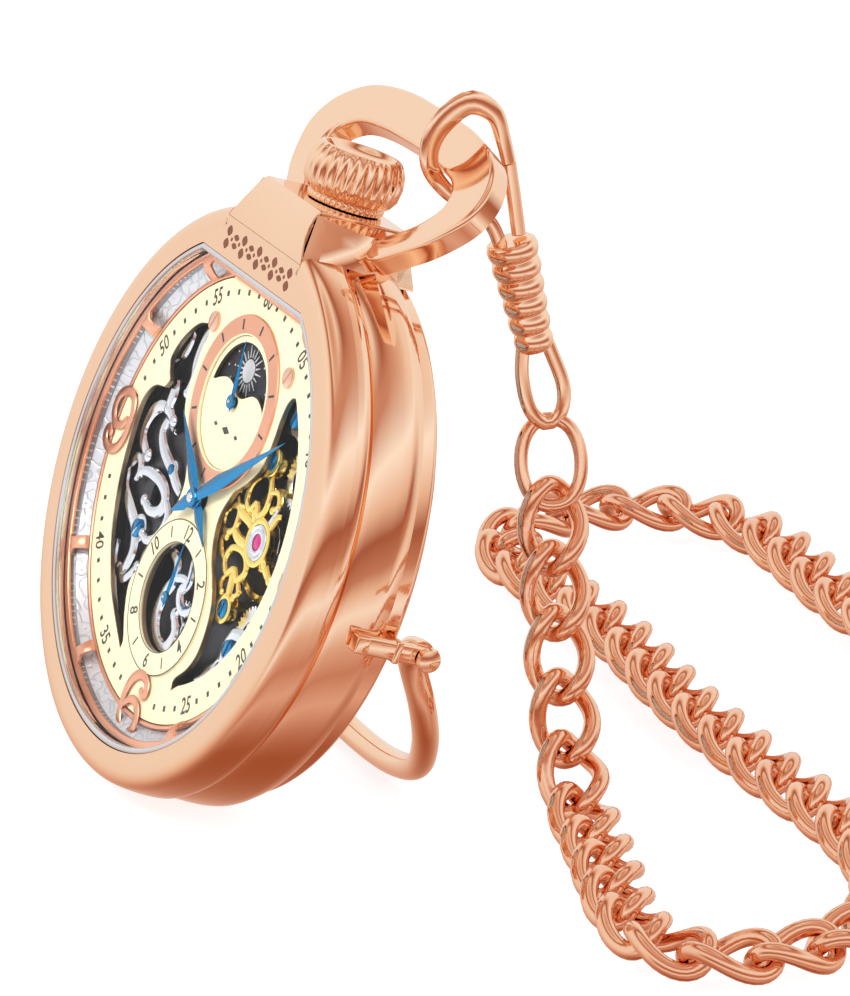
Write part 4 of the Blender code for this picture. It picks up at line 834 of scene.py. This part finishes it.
# %% Minute numbers and marks
def stamp(shape, word, size, x, y, angle, level, slant=0.12):
    """Adds a printed word, centred on (x, y) and turned clockwise by the angle."""
    curve = bpy.data.curves.new("word", "FONT")
    curve.body, curve.size, curve.align_x, curve.align_y = word, size, "CENTER", "CENTER"
    curve.extrude, curve.offset, curve.resolution_u, curve.shear = 0.006, 0.022 * size / 1.75, 3, slant
    holder = bpy.data.objects.new("word", curve)
    bpy.context.scene.collection.objects.link(holder)
    held = bpy.data.meshes.new_from_object(holder.evaluated_get(bpy.context.evaluated_depsgraph_get()))
    bpy.data.objects.remove(holder)
    bpy.data.curves.remove(curve)
    held.transform(Matrix.Translation((x, y, level)) @ turn(-angle, "Z") @ Matrix.Diagonal((0.8, 1, 1, 1)))
    shape.from_mesh(held)
    bpy.data.meshes.remove(held)


def mark(shape, radius, angle, long, wide, level, x=0, y=0):
    """A short printed bar that points at the middle."""
    at = clock_point(radius, angle, x, y)
    made = bmesh.ops.create_cube(shape, size=1)["verts"]
    bmesh.ops.transform(shape, matrix=Matrix.Translation((*at, level)) @ turn(-angle, "Z")
                        @ Matrix.Diagonal((wide, long, 0.012, 1)), verts=made)


shape = bmesh.new()
for minute in range(1, 61):
    angle = 6 * minute
    if minute % 15 == 0 and minute != 60:
        continue
    if minute in (14, 16, 29, 31, 44, 46):
        continue
    if minute % 5:
        mark(shape, 17.09, angle, 0.46, 0.36, 0.006)
    else:
        flip = 90 < angle < 270
        stamp(shape, f"{minute:02d}", 1.95, *clock_point(17.09, angle), angle - 180 if flip else angle, 0.008)
piece("minute_print", shape, INK, "case", level=False)
shape = bmesh.new()
for hour in range(12):
    mark(shape, 6.42, 30 * hour + 8, 0.85, 0.2, 0.21, *UPPER)
    if hour % 2:
        mark(shape, 5.5, 30 * hour, 0.95, 0.17, 0.21, *LOWER)
    else:
        angle = 30 * hour
        flip = 90 < angle < 270
        stamp(shape, str(hour or 12), 1.8, *clock_point(5.5, angle, *LOWER), angle - 180 if flip else angle,
              0.212, 0.1)
for inner, outer in ((6.38, 6.48), (4.52, 4.6)):
    add_slab(shape, [circle(*LOWER, outer, 120), circle(*LOWER, inner, 120)], 0.19, 0.212)
for a in (-2.0, 0.0, 2.0):
    add_slab(shape, [[(a + 0.75 * math.sin(t) * (1 if a == 0 else 0.5),
                       6.0 + 0.34 * math.cos(t) * (1 if a == 0 else 0.6))
                      for t in (math.tau * k / 4 for k in range(4))]], -0.06, -0.03)
piece("small_dial_print", shape, INK, "case", level=False)
print("print made")

# %% [markdown]
# ## Small dials
# Above the middle a black disc with a sun and a moon turns behind a window whose lower edge has
# two hills. Below the middle a ring shows a second time round an open view of the works.

# %% Small dials
shape = lathe([(5.6, 0.0), (5.6, 0.12), (5.68, 0.2), (7.15, 0.2), (7.22, 0.12), (7.22, 0.0)], 128)
piece("upper_dial_ring", shape, ROSE_SATIN, "case", DIAL @ shift(*UPPER, 0), "upper_ring")
shape = lathe([(5.52, -0.05), (5.52, 0.16), (5.58, 0.2), (5.66, 0.16), (5.66, -0.05)], 128)
piece("upper_dial_fillet", shape, CREAM, "case", DIAL @ shift(*UPPER, 0))
shape = lathe([(4.5, 0.0), (4.5, 0.14), (4.56, 0.2), (6.42, 0.2), (6.5, 0.12), (6.5, 0.0)], 128)
piece("lower_dial_ring", shape, CREAM, "case", DIAL @ shift(*LOWER, 0), "lower_ring")
sky = arc(4.95, 277, 443, 60, *UPPER) + runs(
    [(4.91, 8.95), (4.6, 9.3), (3.6, 9.75), (2.5, 9.75), (1.6, 9.35)],
    [(1.6, 9.35), (0.8, 9.0), (0.0, 9.0), (-0.8, 9.35)],
    [(-0.8, 9.35), (-1.6, 9.7), (-2.6, 9.8), (-3.8, 9.45), (-4.75, 8.95)], spacing=0.25)
# The walls of the sky window take the same painted shade.
shape = slab([circle(*UPPER, 5.5, 96), sky, circle(*UPPER, 0.45, 24)], -0.36, -0.05, 0.03, 1, side=1)
piece("sky_window_plate", shape, [CREAM, WALL_PAINTED_SHADE], "case", DIAL, "upper_centre", angle=30,
      level=False)
shape = lathe([(0.38, -0.72), (5.2, -0.72), (5.2, -0.45), (0.38, -0.45)], 96)
piece("sky_disc", shape, metal("night_sky", (0.02, 0.02, 0.03), 0.35, 0.1, 0.6, 1300, 0.1), "day_night",
      DIAL @ shift(*UPPER, 0), "sun_moon_disc")
shape = bmesh.new()
sun = (-0.15, 2.75)
add_slab(shape, [[(sun[0] + 0.98 * math.cos(t),
                   sun[1] + 0.98 * math.sin(t)) for t in (math.tau * k / 40 for k in range(40))]],
         -0.45, -0.36, 0.03, 1)
for k in range(20):
    t = math.tau * (k + 0.3) / 20
    ray = [(1.12, -0.075), (2.15 - 0.35 * (k % 2), -0.03), (2.15 - 0.35 * (k % 2), 0.03), (1.12, 0.075)]
    add_slab(shape, [[(sun[0] + r * math.cos(t) - s * math.sin(t),
                       sun[1] + r * math.sin(t) + s * math.cos(t)) for r, s in ray]],
             -0.45, -0.40)
add_slab(shape, [[(1.35 * math.cos(t),
                   -2.7 + 1.35 * math.sin(t)) for t in (math.tau * k / 40 for k in range(40))]], -0.45, -0.38)
for k, (r, a) in enumerate(((4.4, 300), (3.7, 312), (4.6, 322), (4.3, 30), (4.7, 48), (4.2, 62), (3.2, 296),
                            (3.5, 120),
                            (4.2, 145), (3.6, 235), (4.3, 255), (4.7, 205))):
    knob(shape, *clock_point(r, a), -0.44, 0.09, 0.03)
SUN = metal("silvered_sun", (0.80, 0.80, 0.80), 0.5, 0.1, 1.0, 1500, 0.1)
piece("sun_moon_and_stars", shape, SUN, "day_night", DIAL @ shift(*UPPER, 0),
      level=False)
print("small dials made")

# %% [markdown]
# ## Hands and screws
# The hands are lozenges with a ridge down the middle. Each blade is the convex hull of its
# outline and its ridge, so both sides are true flat facets that catch the light differently.

# %% Hands
def hull(shape, points):
    corners = [shape.verts.new(p) for p in points]
    made = bmesh.ops.convex_hull(shape, input=corners)
    loose = {v for v in made["geom_interior"] + made["geom_unused"] if isinstance(v, bmesh.types.BMVert)}
    bmesh.ops.delete(shape, geom=list(loose), context="VERTS")


def lozenge(name, length, tail, wide, level, angle, body, at, instead, eye, cap):
    shape = bmesh.new()
    half, belly = wide / 2, length * 0.26
    hull(shape, [(0, length, 0), (half, belly, 0), (-half, belly, 0), (half * 0.62, 0, 0), (-half * 0.62, 0,
                                                                                            0),
                 (0, length - 0.1, 0.06), (0, belly, 0.2), (0, 0, 0.17)])
    hull(shape, [(0, -tail, 0), (half * 0.9, -tail * 0.35, 0), (-half * 0.9, -tail * 0.35, 0), (half * 0.55,
                                                                                                0.1, 0),
                 (-half * 0.55, 0.1, 0), (0, -tail + 0.1, 0.06), (0, -tail * 0.35, 0.19), (0, 0.1, 0.17)])
    where = DIAL @ shift(*at, level) @ turn(-angle, "Z")
    piece(name + "_blade", shape, BLUED, body, where, instead, angle=5, level=False)
    shape = lathe([(0.12, -0.02), (eye, -0.02), (eye, 0.14), (eye * 0.9, 0.22), (0.12, 0.22)], 48)
    piece(name + "_eye", shape, BLUED, body, where)
    if cap:
        shape = lathe([(0, -0.1), (cap, -0.1), (cap, 0.26), (cap * 0.8, 0.34), (0, 0.36)], 32, closed=False)
        piece(name + "_cap", shape, STEEL, body, where)


lozenge("hour_lozenge", 8.9, 4.8, 1.5, 0.52, 308, "hour", (0, 0), "hour_hand", 0.9, 0)
lozenge("minute_lozenge", 14.9, 3.8, 1.45, 0.88, 54, "minute", (0, 0), ("minute_hand", "cannon_pinion"), 0.85,
        0.42)
lozenge("sun_moon_pointer", 5.1, 0.9, 0.66, 0.27, 350, "day_night", UPPER, "day_night_hand", 0.6, 0.16)
lozenge("second_time_pointer", 5.1, 0.9, 0.66, 0.27, 2, "dual_time", LOWER, "dual_time_hand", 0.5, 0.16)


# %% Screws
def slotted(name, x, y, low, high, radius, look, angle, instead=()):
    """A round screw head with a real slot: two half discs with a gap and a floor under both."""
    shape = bmesh.new()
    gap = radius * 0.13
    edge = math.degrees(math.asin(gap / radius))
    for first in (edge, 180 + edge):
        rim = [(radius * math.cos(math.radians(first + (180 - 2 * edge) * k / 20)),
                radius * math.sin(math.radians(first + (180 - 2 * edge) * k / 20))) for k in range(21)]
        add_slab(shape, [rim], low, high, radius * 0.09, 2)
    add_slab(shape, [circle(0, 0, radius * 0.97, 40)], low, high - 0.11)
    piece(name, shape, look, "case", DIAL @ shift(x, y, 0) @ turn(angle, "Z"), instead, level=False)


SCREW_ROSE = metal("satin_rose_screw", (0.86, 0.56, 0.42), 0.3, 0.1, 1.0, 1500, 0.15)
slotted("rose_screw_left", -7.5, 13.0, -0.02, 0.26, 0.86, SCREW_ROSE, 65, "dial_screw_left")
slotted("rose_screw_right", 7.5, 12.9, -0.02, 0.26, 0.86, SCREW_ROSE, 60, "dial_screw_right")
for name, x, y, level, angle, instead in (
        ("blue_screw_a", 8.2, 6.2, -0.78, 70, "cock_screw_upper"), ("blue_screw_b", 8.2, -6.4, -0.78, 80,
                                                                    "cock_screw_lower"),
        ("blue_screw_c", -10.5, -5.9, -0.9, 60, "bridge_screw_lower"), ("blue_screw_d", -8.0, 0.1, -0.9, 70,
                                                                        "bridge_screw_upper"),
        ("blue_screw_e", 9.3, 10.2, -0.9, 70, ()), ("blue_screw_f", 10.85, -8.96, -0.9, 75, ())):
    size = 0.45 if name.endswith("d") else 0.8
    slotted(name, x, y, level + 0.05, level + 0.33, size, BLUED, angle, instead)
print("hands and screws made")

# %% [markdown]
# ## Works behind the dial
# The main plate is black with a fine circular grain. Over it lie the silver scrolls, which are
# bands that narrow to their ends and finish in a round eye, and the edges of two toothed wheels.

# %% Plate, scrolls and wheels
shape = lathe([(0.6, -2.3), (18.7, -2.3), (18.7, -3.4), (0.6, -3.4)], 128)
piece("black_main_plate", shape, DARK, "case", DIAL, "main_plate")
shape = lathe([(18.76, -1.26), (21.85, -1.26), (21.85, -6.5), (18.76, -6.5)], 128)
piece("black_movement_ring", shape, DARK, "case", DIAL, "movement_holder")
BRIDGE = metal("dark_bridge", (0.10, 0.10, 0.11), 0.42, 0.2, 1.0, 1300, 0.4, shade=(0.05, 0.05, 0.055))
shape = bmesh.new()
add_slab(shape, [runs([(-13.6, 8.3), (-15.6, 3.0), (-15.0, -4.0), (-11.2, -10.6), (-7.6, -13.6)],
                      [(-7.6, -13.6), (-6.9, -10.0), (-5.0, -4.4), (-3.4, 0.0), (-4.6, 4.6), (-7.4, 9.0),
                       (-10.0, 11.6),
                       (-13.6, 8.3)], spacing=0.6),
                 circle(-11.0, 4.6, 2.2, 40), circle(-9.6, -2.6, 1.7, 40), circle(-10.6, -8.6, 1.1, 32)],
         -1.75, -1.35, 0.08, 2)
piece("left_under_bridge", shape, BRIDGE, "case", level=False)
SILVER = metal("polished_scroll", (0.80, 0.82, 0.86), 0.13, 0.1, 0.5, 1200, 0.08, shade=(0.60, 0.63, 0.68))
scrolls = bmesh.new()
for points, wide in (
        ([(-13.0, -0.3), (-14.6, 0.5), (-15.1, 1.6), (-14.5, 3.1), (-13.2, 4.0), (-11.8, 4.05), (-10.6, 3.5)],
         0.42),
        ([(-11.5, 3.4), (-11.75, 2.2), (-10.9, 1.3), (-9.9, 0.75), (-8.1, 0.1), (-6.6, -0.7), (-5.2, -1.2)],
         0.40),
        ([(-12.15, 6.6), (-12.0, 5.4), (-12.2, 4.1)], 0.45),
        ([(-14.0, 7.6), (-13.2, 8.5), (-12.4, 8.9), (-12.0, 10.2), (-12.1, 11.2)], 0.32),
        ([(-9.2, 12.2), (-9.8, 10.9), (-9.95, 9.0), (-9.5, 7.6), (-9.9, 6.2)], 0.34),
        ([(-15.5, -2.3), (-14.9, -3.8), (-12.8, -5.0), (-11.0, -6.0), (-10.1, -7.7), (-10.6, -9.4),
          (-11.7, -9.8)], 0.42),
        ([(-11.7, -9.8), (-10.4, -10.3), (-9.3, -9.7), (-8.6, -8.6)], 0.32),
        ([(-13.6, -2.6), (-12.9, -1.7), (-11.4, -1.3), (-9.1, -1.4), (-7.6, -2.2), (-7.8, -3.4), (-9.4, -4.0),
          (-11.1, -3.6)], 0.40),
        ([(-15.4, -2.2), (-14.6, -0.9), (-13.6, -1.2), (-13.2, -2.6)], 0.30),
        ([(-7.6, -2.2), (-6.2, -3.4), (-6.6, -5.2), (-8.2, -6.2), (-9.6, -6.0)], 0.34),
        ([(-13.3, -7.8), (-12.9, -9.2), (-11.6, -11.2), (-9.7, -13.0), (-7.0, -15.0)], 0.34),
        ([(-3.4, -5.4), (-1.9, -6.0), (-1.6, -7.4), (-2.4, -8.8), (-2.6, -10.9), (-1.4, -12.4), (0.5, -12.6),
          (1.4, -11.0),
          (0.3, -9.7)], 0.46),
        ([(0.6, -4.9), (1.0, -6.6), (0.1, -7.8), (1.1, -8.9), (2.6, -8.6), (3.6, -7.0)], 0.36),
        ([(-1.6, -7.2), (0.0, -6.7), (1.0, -6.6)], 0.3)):
    stroke(scrolls, points, wide * 1.45, 0.24, -0.85, 0.45, power=0.75, spacing=0.3)
for x, y, r in ((-13.0, -0.3, 0.5), (-10.6, 3.5, 0.45), (-11.7, -9.8, 0.5), (-11.1, -3.6, 0.45),
                (-9.9, 6.2, 0.4),
                (-8.6, -8.6, 0.4), (-9.6, -6.0, 0.4), (0.3, -9.7, 0.55), (3.6, -7.0, 0.4), (-12.2, 4.1, 0.5)):
    knob(scrolls, x, y, -0.85, r * 1.2, 0.28)
for x, y, inner, outer in ((-10.5, -5.9, 0.7, 1.25), (-8.0, 0.1, 0.4, 0.8)):
    add_slab(scrolls, [circle(x, y, outer, 40), circle(x, y, inner, 32)], -1.2, -0.85, 0.08, 2)
add_slab(scrolls, [runs([(13.3, -6.7), (12.9, -8.6), (11.6, -10.7), (8.9, -12.4), (6.6, -13.1)],
                        [(6.6, -13.1), (7.7, -11.6), (9.2, -10.4), (9.5, -8.6), (10.2, -7.4), (11.7, -6.9),
                         (13.3, -6.7)]),
                   circle(10.85, -8.96, 0.85, 32), circle(9.9, -10.9, 0.5, 24)], -1.2, -0.85, 0.08, 2)
add_slab(scrolls, [runs([(8.6, 11.7), (10.2, 11.0), (12.0, 9.2), (13.4, 6.8)],
                        [(13.4, 6.8), (12.3, 6.7), (11.6, 7.9), (10.2, 8.8), (8.5, 8.9), (8.2, 10.2),
                         (8.6, 11.7)]),
                   circle(9.3, 10.2, 0.85, 32), circle(11.6, 8.8, 0.4, 24)], -1.2, -0.85, 0.08, 2)
piece("silver_scrolls", scrolls, SILVER, "case", DIAL, "scroll_bridge", level=False)
shape = bmesh.new()
for x, y, radius, teeth in ((12.2, 6.0, 2.6, 34), (12.4, -7.4, 2.7, 36), (0.9, -10.2, 2.0, 26),
                            (-12.4, 1.2, 2.2, 28)):
    gear = [(x + r * math.cos(math.tau * (k + s) / teeth), y + r * math.sin(math.tau * (k + s) / teeth))
            for k in range(teeth) for r, s in ((radius - 0.25, 0.0), (radius - 0.25, 0.4), (radius, 0.55),
                                               (radius, 0.85))]
    add_slab(shape, [gear, circle(x, y, radius * 0.55, 32)], -1.72, -1.42, 0.03, 1)
    for k in range(3):
        a = math.tau * (k + 0.2) / 3
        stroke(shape, [(x, y), (x + radius * 0.6 * math.cos(a), y + radius * 0.6 * math.sin(a))], 0.2, 0.12,
               -1.57, 1.0,
               spacing=1.0)
piece("silver_wheels", shape, STEEL, "case", level=False)
print("scrolls made")

# %% [markdown]
# ## Balance and its cock
# The gilt cock is a row of pierced hearts and curls between its two screws. Its bands are swept
# along closed lines, and a silver setting holds the ruby in the middle.

# %% Cock, balance and jewel
shape = bmesh.new()
for line in ([(8.3, 5.1), (7.1, 4.7), (6.0, 3.6), (6.0, 2.3), (7.0, 1.7), (7.8, 2.5), (8.6, 1.7), (9.4, 2.3),
              (9.5, 3.6), (9.0, 4.7)],
             [(5.4, 1.2), (4.2, 1.1), (3.3, 0.3), (3.6, -0.8), (4.6, -1.0), (5.6, -0.4)],
             [(7.7, -1.5), (6.2, -1.9), (5.7, -3.0), (6.6, -3.9), (7.7, -3.2), (8.7, -3.8), (9.6, -2.8),
              (9.0, -1.8)]):
    stroke(shape, line, 0.33, 0.2, -0.72, closed=True, power=0.75, spacing=0.25)
for line, wide in (([(6.4, 1.7), (5.2, 1.6), (4.4, 2.4), (4.9, 3.2)], 0.28),
                   ([(9.6, 4.0), (10.8, 4.3), (11.4, 3.4), (10.6, 2.8)], 0.28),
                   ([(5.7, -3.0), (4.6, -2.6), (4.1, -1.7), (4.8, -1.4)],
                    0.28), ([(6.8, -4.0), (6.2, -4.8), (6.9, -5.4)], 0.28),
                   ([(9.0, -3.8), (9.6, -4.6), (9.0, -5.2)], 0.28), ([(8.3, 5.0), (8.2, 5.6)], 0.42),
                   ([(7.8, -3.5), (8.0, -4.6), (8.2, -5.6)],
                    0.5), ([(5.4, 1.1), (6.4, 1.0), (7.6, 0.9), (8.6, 0.6)], 0.5),
                   ([(5.6, -0.5), (6.8, -0.9), (8.4, -0.9)], 0.5), ([(7.8, 1.9), (8.6, 1.2)],
                                                                    0.5), ([(8.6, -1.6), (8.9, -0.9)], 0.5),
                   ([(11.6, -0.9), (12.6, -1.5), (13.6, -2.0)],
                    0.42), ([(11.2, 1.3), (11.9, 2.6), (12.6, 2.9)], 0.3)):
    stroke(shape, line, wide, 0.2, -0.72, 0.75, power=0.75, spacing=0.25)
for x, y, r in ((4.9, 3.2, 0.4), (10.6, 2.8, 0.38), (4.8, -1.4, 0.36), (6.9, -5.4, 0.36), (9.0, -5.2, 0.36),
                (13.7, -2.05, 0.5)):
    knob(shape, x, y, -0.72, r, 0.24)
for x, y, inner, outer in ((8.2, 6.2, 0.78, 1.28), (8.2, -6.4, 0.78, 1.28), (10.1, -0.1, 1.5, 2.05),
                           (12.2, -1.35, 0.3, 0.55)):
    add_slab(shape, [circle(x, y, outer, 48), circle(x, y, inner, 40)], -1.25, -0.5, 0.1, 2)
for y in (6.2, -6.4):
    add_slab(shape, [circle(8.2, y, 0.85, 32)], -2.25, -0.8)
piece("pierced_cock", shape, GILT, "case", DIAL, "balance_cock", level=False)
shape = lathe([(0.72, -0.9), (1.5, -0.9), (1.5, -0.5), (1.35, -0.42), (1.1, -0.5), (0.95, -0.44),
               (0.72, -0.5)], 64)
piece("jewel_setting", shape, SILVER, "case", DIAL @ shift(10.1, -0.1, 0))
shape = lathe([(0, -0.95), (0.7, -0.95), (0.7, -0.62), (0.5, -0.5), (0, -0.44)], 40, closed=False)
RUBY_FACE, tree, shader = new_material("ruby_face")
shader.inputs["Base Color"].default_value = (0.50, 0.005, 0.16, 1)
shader.inputs["Roughness"].default_value = 0.08
piece("ruby_cap", shape, RUBY_FACE, "case", DIAL @ shift(10.1, -0.1, 0), "balance_jewel")
shape = lathe([(4.05, -2.1), (4.6, -2.1), (4.6, -1.75), (4.05, -1.75)], 96)
for k in range(12):
    a = math.tau * k / 12
    made = bmesh.ops.create_cone(shape, cap_ends=True, segments=12, radius1=0.16, radius2=0.16, depth=0.5,
                                 matrix=turn(math.degrees(a), "Z") @ shift(4.45, 0, -1.92) @ turn(90, "Y"))
stroke(shape, [(-4.2, 0), (0, 0), (4.2, 0)], 0.3, 0.13, -1.92, 1.0, spacing=1.0)
piece("gilt_balance", shape, GILT, "balance", DIAL @ shift(10.1, -0.1, 0), "balance_wheel",
      level=False)
print("balance made")

# %% [markdown]
# ## Stand
# The stand is one bent wire on two pins. Its bracket each side is a slim block with a square end.

# %% Stand, brackets and pins
half = [(24.0, 0, 0), (22.9, -0.05, 0), (21.4, -0.7, 0), (20.6, -2.6, 0), (19.7, -6.4, 0), (17.3, -10.9, 0),
        (12.9, -15.1, 0),
        (6.8, -17.4, 0), (0, -18.1, 0)]
line = flowing(half + [(-x, y, z) for x, y, z in reversed(half[:-1])], 0.7)
piece("stand_wire", add_sweep(bmesh.new(), along(line, 1.1), 28), ROSE, "stand", STAND, "stand_loop",
      level=False)


def bar(shape, low, high, rounding):
    low, high = Vector(low), Vector(high)
    made = bmesh.ops.create_cube(shape, size=1)["verts"]
    bmesh.ops.transform(shape, matrix=Matrix.Translation((low + high) / 2) @ Matrix.Diagonal((*(high - low),
                                                                                              1)), verts=made)
    edges = list({e for v in made for e in v.link_edges})
    bmesh.ops.bevel(shape, geom=edges, offset=rounding, segments=3, profile=0.5, affect="EDGES", material=-1)


for side, sign in (("left", -1), ("right", 1)):
    shape = bmesh.new()
    near, far = 24.0 * sign, 24.95 * sign
    bar(shape, (min(near, far), -3.6, -10.6), (max(near, far), -2.0, -3.6), 0.3)
    bar(shape, (min(near, far + 0.3 * sign), -3.5, -4.6), (max(near, far + 0.3 * sign), -2.1, -3.4), 0.15)
    bar(shape, (min(near, far + 0.15 * sign), -3.75, -7.6), (max(near, far + 0.15 * sign), -1.85, -7.0), 0.2)
    piece(f"slim_bracket_{side}", shape, ROSE, "case", DIAL, f"stand_bracket_{side}",
          level=False)
    shape = lathe([(0.5, 22.8), (0.5, 25.0), (0.95, 25.05), (1.05, 25.35), (0.9, 25.7), (0.5, 25.9),
                   (0, 25.95)], 40, closed=False)
    piece(f"ball_pin_{side}", shape, ROSE, "case", DIAL @ shift(0, -2.8, -9.9) @ turn(90 * sign, "Y"),
          f"stand_pin_{side}",
          level=False)


def dress(look, *names):
    for name in names:
        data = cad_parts[name].data
        data.materials.clear()
        data.materials.append(look)


STRIPED, tree, shader = new_material("striped_steel")
place = node(tree, "ShaderNodeTexCoord")
stripes = node(tree, "ShaderNodeTexWave", {"wave_profile": "SIN", "bands_direction": "X"},
               Vector=place.outputs["Object"],
               Scale=190.0, Distortion=0.4)
grain = node(tree, "ShaderNodeTexNoise", Vector=place.outputs["Object"], Scale=2400.0, Detail=2.0)
tint = node(tree, "ShaderNodeMix", {"data_type": "RGBA"}, i0=stripes.outputs["Fac"], i6=(0.62, 0.63, 0.66, 1),
            i7=(0.40, 0.41, 0.44, 1))
rough = node(tree, "ShaderNodeMapRange", i0=grain.outputs["Fac"], i3=0.26, i4=0.42)
relief = node(tree, "ShaderNodeBump", Strength=0.4, Distance=0.00004, Height=stripes.outputs["Fac"])
tree.links.new(tint.outputs[2], shader.inputs["Base Color"])
tree.links.new(rough.outputs[0], shader.inputs["Roughness"])
tree.links.new(relief.outputs["Normal"], shader.inputs["Normal"])
shader.inputs["Metallic"].default_value = 1
dress(ROSE, "bow_pin_left", "bow_pin_right")
dress(GILT, "centre_wheel", "third_wheel", "fourth_wheel", "mainspring_barrel")
dress(STRIPED, "train_bridge", "winding_rotor")
dress(STEEL, "escape_wheel", "pallet_fork", "hairspring", "regulator", "rotor_post")
print("stand made, and the hidden pieces have their metals")

# %% [markdown]
# ## Table, light and room
# The table is a plain pale sheet. The room is drawn in the world shader, which only the polished
# metal sees as bands of light and warm shade; the lacquer and the print see an even white.

# %% World
world = bpy.data.worlds.new("studio")
bpy.context.scene.world = world
world.use_nodes = True
tree = world.node_tree
background = tree.nodes["Background"]
direction = node(tree, "ShaderNodeTexCoord")
parts = node(tree, "ShaderNodeSeparateXYZ", i0=direction.outputs["Generated"])
height = node(tree, "ShaderNodeMath", {"operation": "MULTIPLY_ADD"}, i0=parts.outputs["Z"], i1=0.5, i2=0.5)


def band(stops):
    """A ramp over the height of the direction looked in, from straight down at 0 to straight up at 1."""
    ramp = node(tree, "ShaderNodeValToRGB", i0=height.outputs[0])
    while len(ramp.color_ramp.elements) < len(stops):
        ramp.color_ramp.elements.new(0.5)
    for element, (at, colour) in zip(ramp.color_ramp.elements, stops):
        element.position, element.color = at, (*colour, 1)
    return ramp.outputs["Color"]


LIGHT, WARM, DEEP = (0.97, 1.0, 1.03), (0.70, 0.42, 0.33), (0.38, 0.12, 0.06)
left = band(((0.0, DEEP), (0.20, WARM), (0.36, (0.86, 0.70, 0.62)), (0.47, (0.93, 0.91, 0.90)), (0.74, LIGHT),
             (0.83, (0.92, 0.84, 0.78)), (0.88, WARM), (0.92, DEEP), (0.96, (0.95, 0.9, 0.85)), (1.0, WARM)))
right = band(((0.0, (0.50, 0.20, 0.13)), (0.08, (0.76, 0.50, 0.42)), (0.15, (0.60, 0.30, 0.22)),
              (0.24, (0.78, 0.56, 0.48)),
              (0.33, (1.0, 1.05, 1.12)), (0.39, (0.86, 0.70, 0.63)), (0.45, (0.56, 0.28, 0.20)), (0.55,
                                                                                                  (0.40, 0.14,
                                                                                                   0.09)),
              (0.64, (0.84, 0.66, 0.58)), (0.76, (1.05, 1.15, 1.25)), (0.88, (0.60, 0.33, 0.25)), (1.0,
                                                                                                   WARM)))
side = node(tree, "ShaderNodeMapRange", i0=parts.outputs["X"], i1=0.05, i2=0.45)
room = node(tree, "ShaderNodeMix", {"data_type": "RGBA"}, i0=side.outputs[0], i6=left, i7=right)
path = node(tree, "ShaderNodeLightPath")
pick = node(tree, "ShaderNodeMix", {"data_type": "RGBA"}, i0=path.outputs["Is Glossy Ray"],
            i6=(0.80, 0.82, 0.86, 1),
            i7=room.outputs[2])
tree.links.new(pick.outputs[2], background.inputs["Color"])
background.inputs["Strength"].default_value = 1.0

# %% Table and lamps
shape = bmesh.new()
bmesh.ops.create_grid(shape, x_segments=1, y_segments=1, size=3)
data = bpy.data.meshes.new("table")
shape.to_mesh(data)
shape.free()
table = bpy.data.objects.new("table", data)
bpy.context.scene.collection.objects.link(table)
TABLE, tree, shader = new_material("pale_table")
shader.inputs["Base Color"].default_value = (0.45, 0.45, 0.45, 1)
shader.inputs["Roughness"].default_value = 0.9
shader.inputs["Specular IOR Level"].default_value = 0.0
shader.inputs["Emission Color"].default_value = (1, 1, 1, 1)
shader.inputs["Emission Strength"].default_value = 0.78
table.visible_glossy = False
data.materials.append(TABLE)


def lamp(name, where, size, watts, colour=(1, 1, 1)):
    light = bpy.data.lights.new(name, "AREA")
    light.shape, light.size, light.energy, light.color = "DISK", size, watts, colour
    made = bpy.data.objects.new(name, light)
    made.location = where
    made.rotation_euler = (Vector(where) - dial_centre).to_track_quat("Z", "Y").to_euler()
    made.visible_glossy = False
    bpy.context.scene.collection.objects.link(made)
    return made


lamp("key_lamp", (0.10, -0.45, 0.50), 0.30, 1.5)
lamp("side_lamp", (0.50, 0.10, 0.25), 0.20, 0.8)
bpy.context.scene.view_settings.view_transform = "Standard"
bpy.context.scene.view_settings.look = "None"
print("stage set")
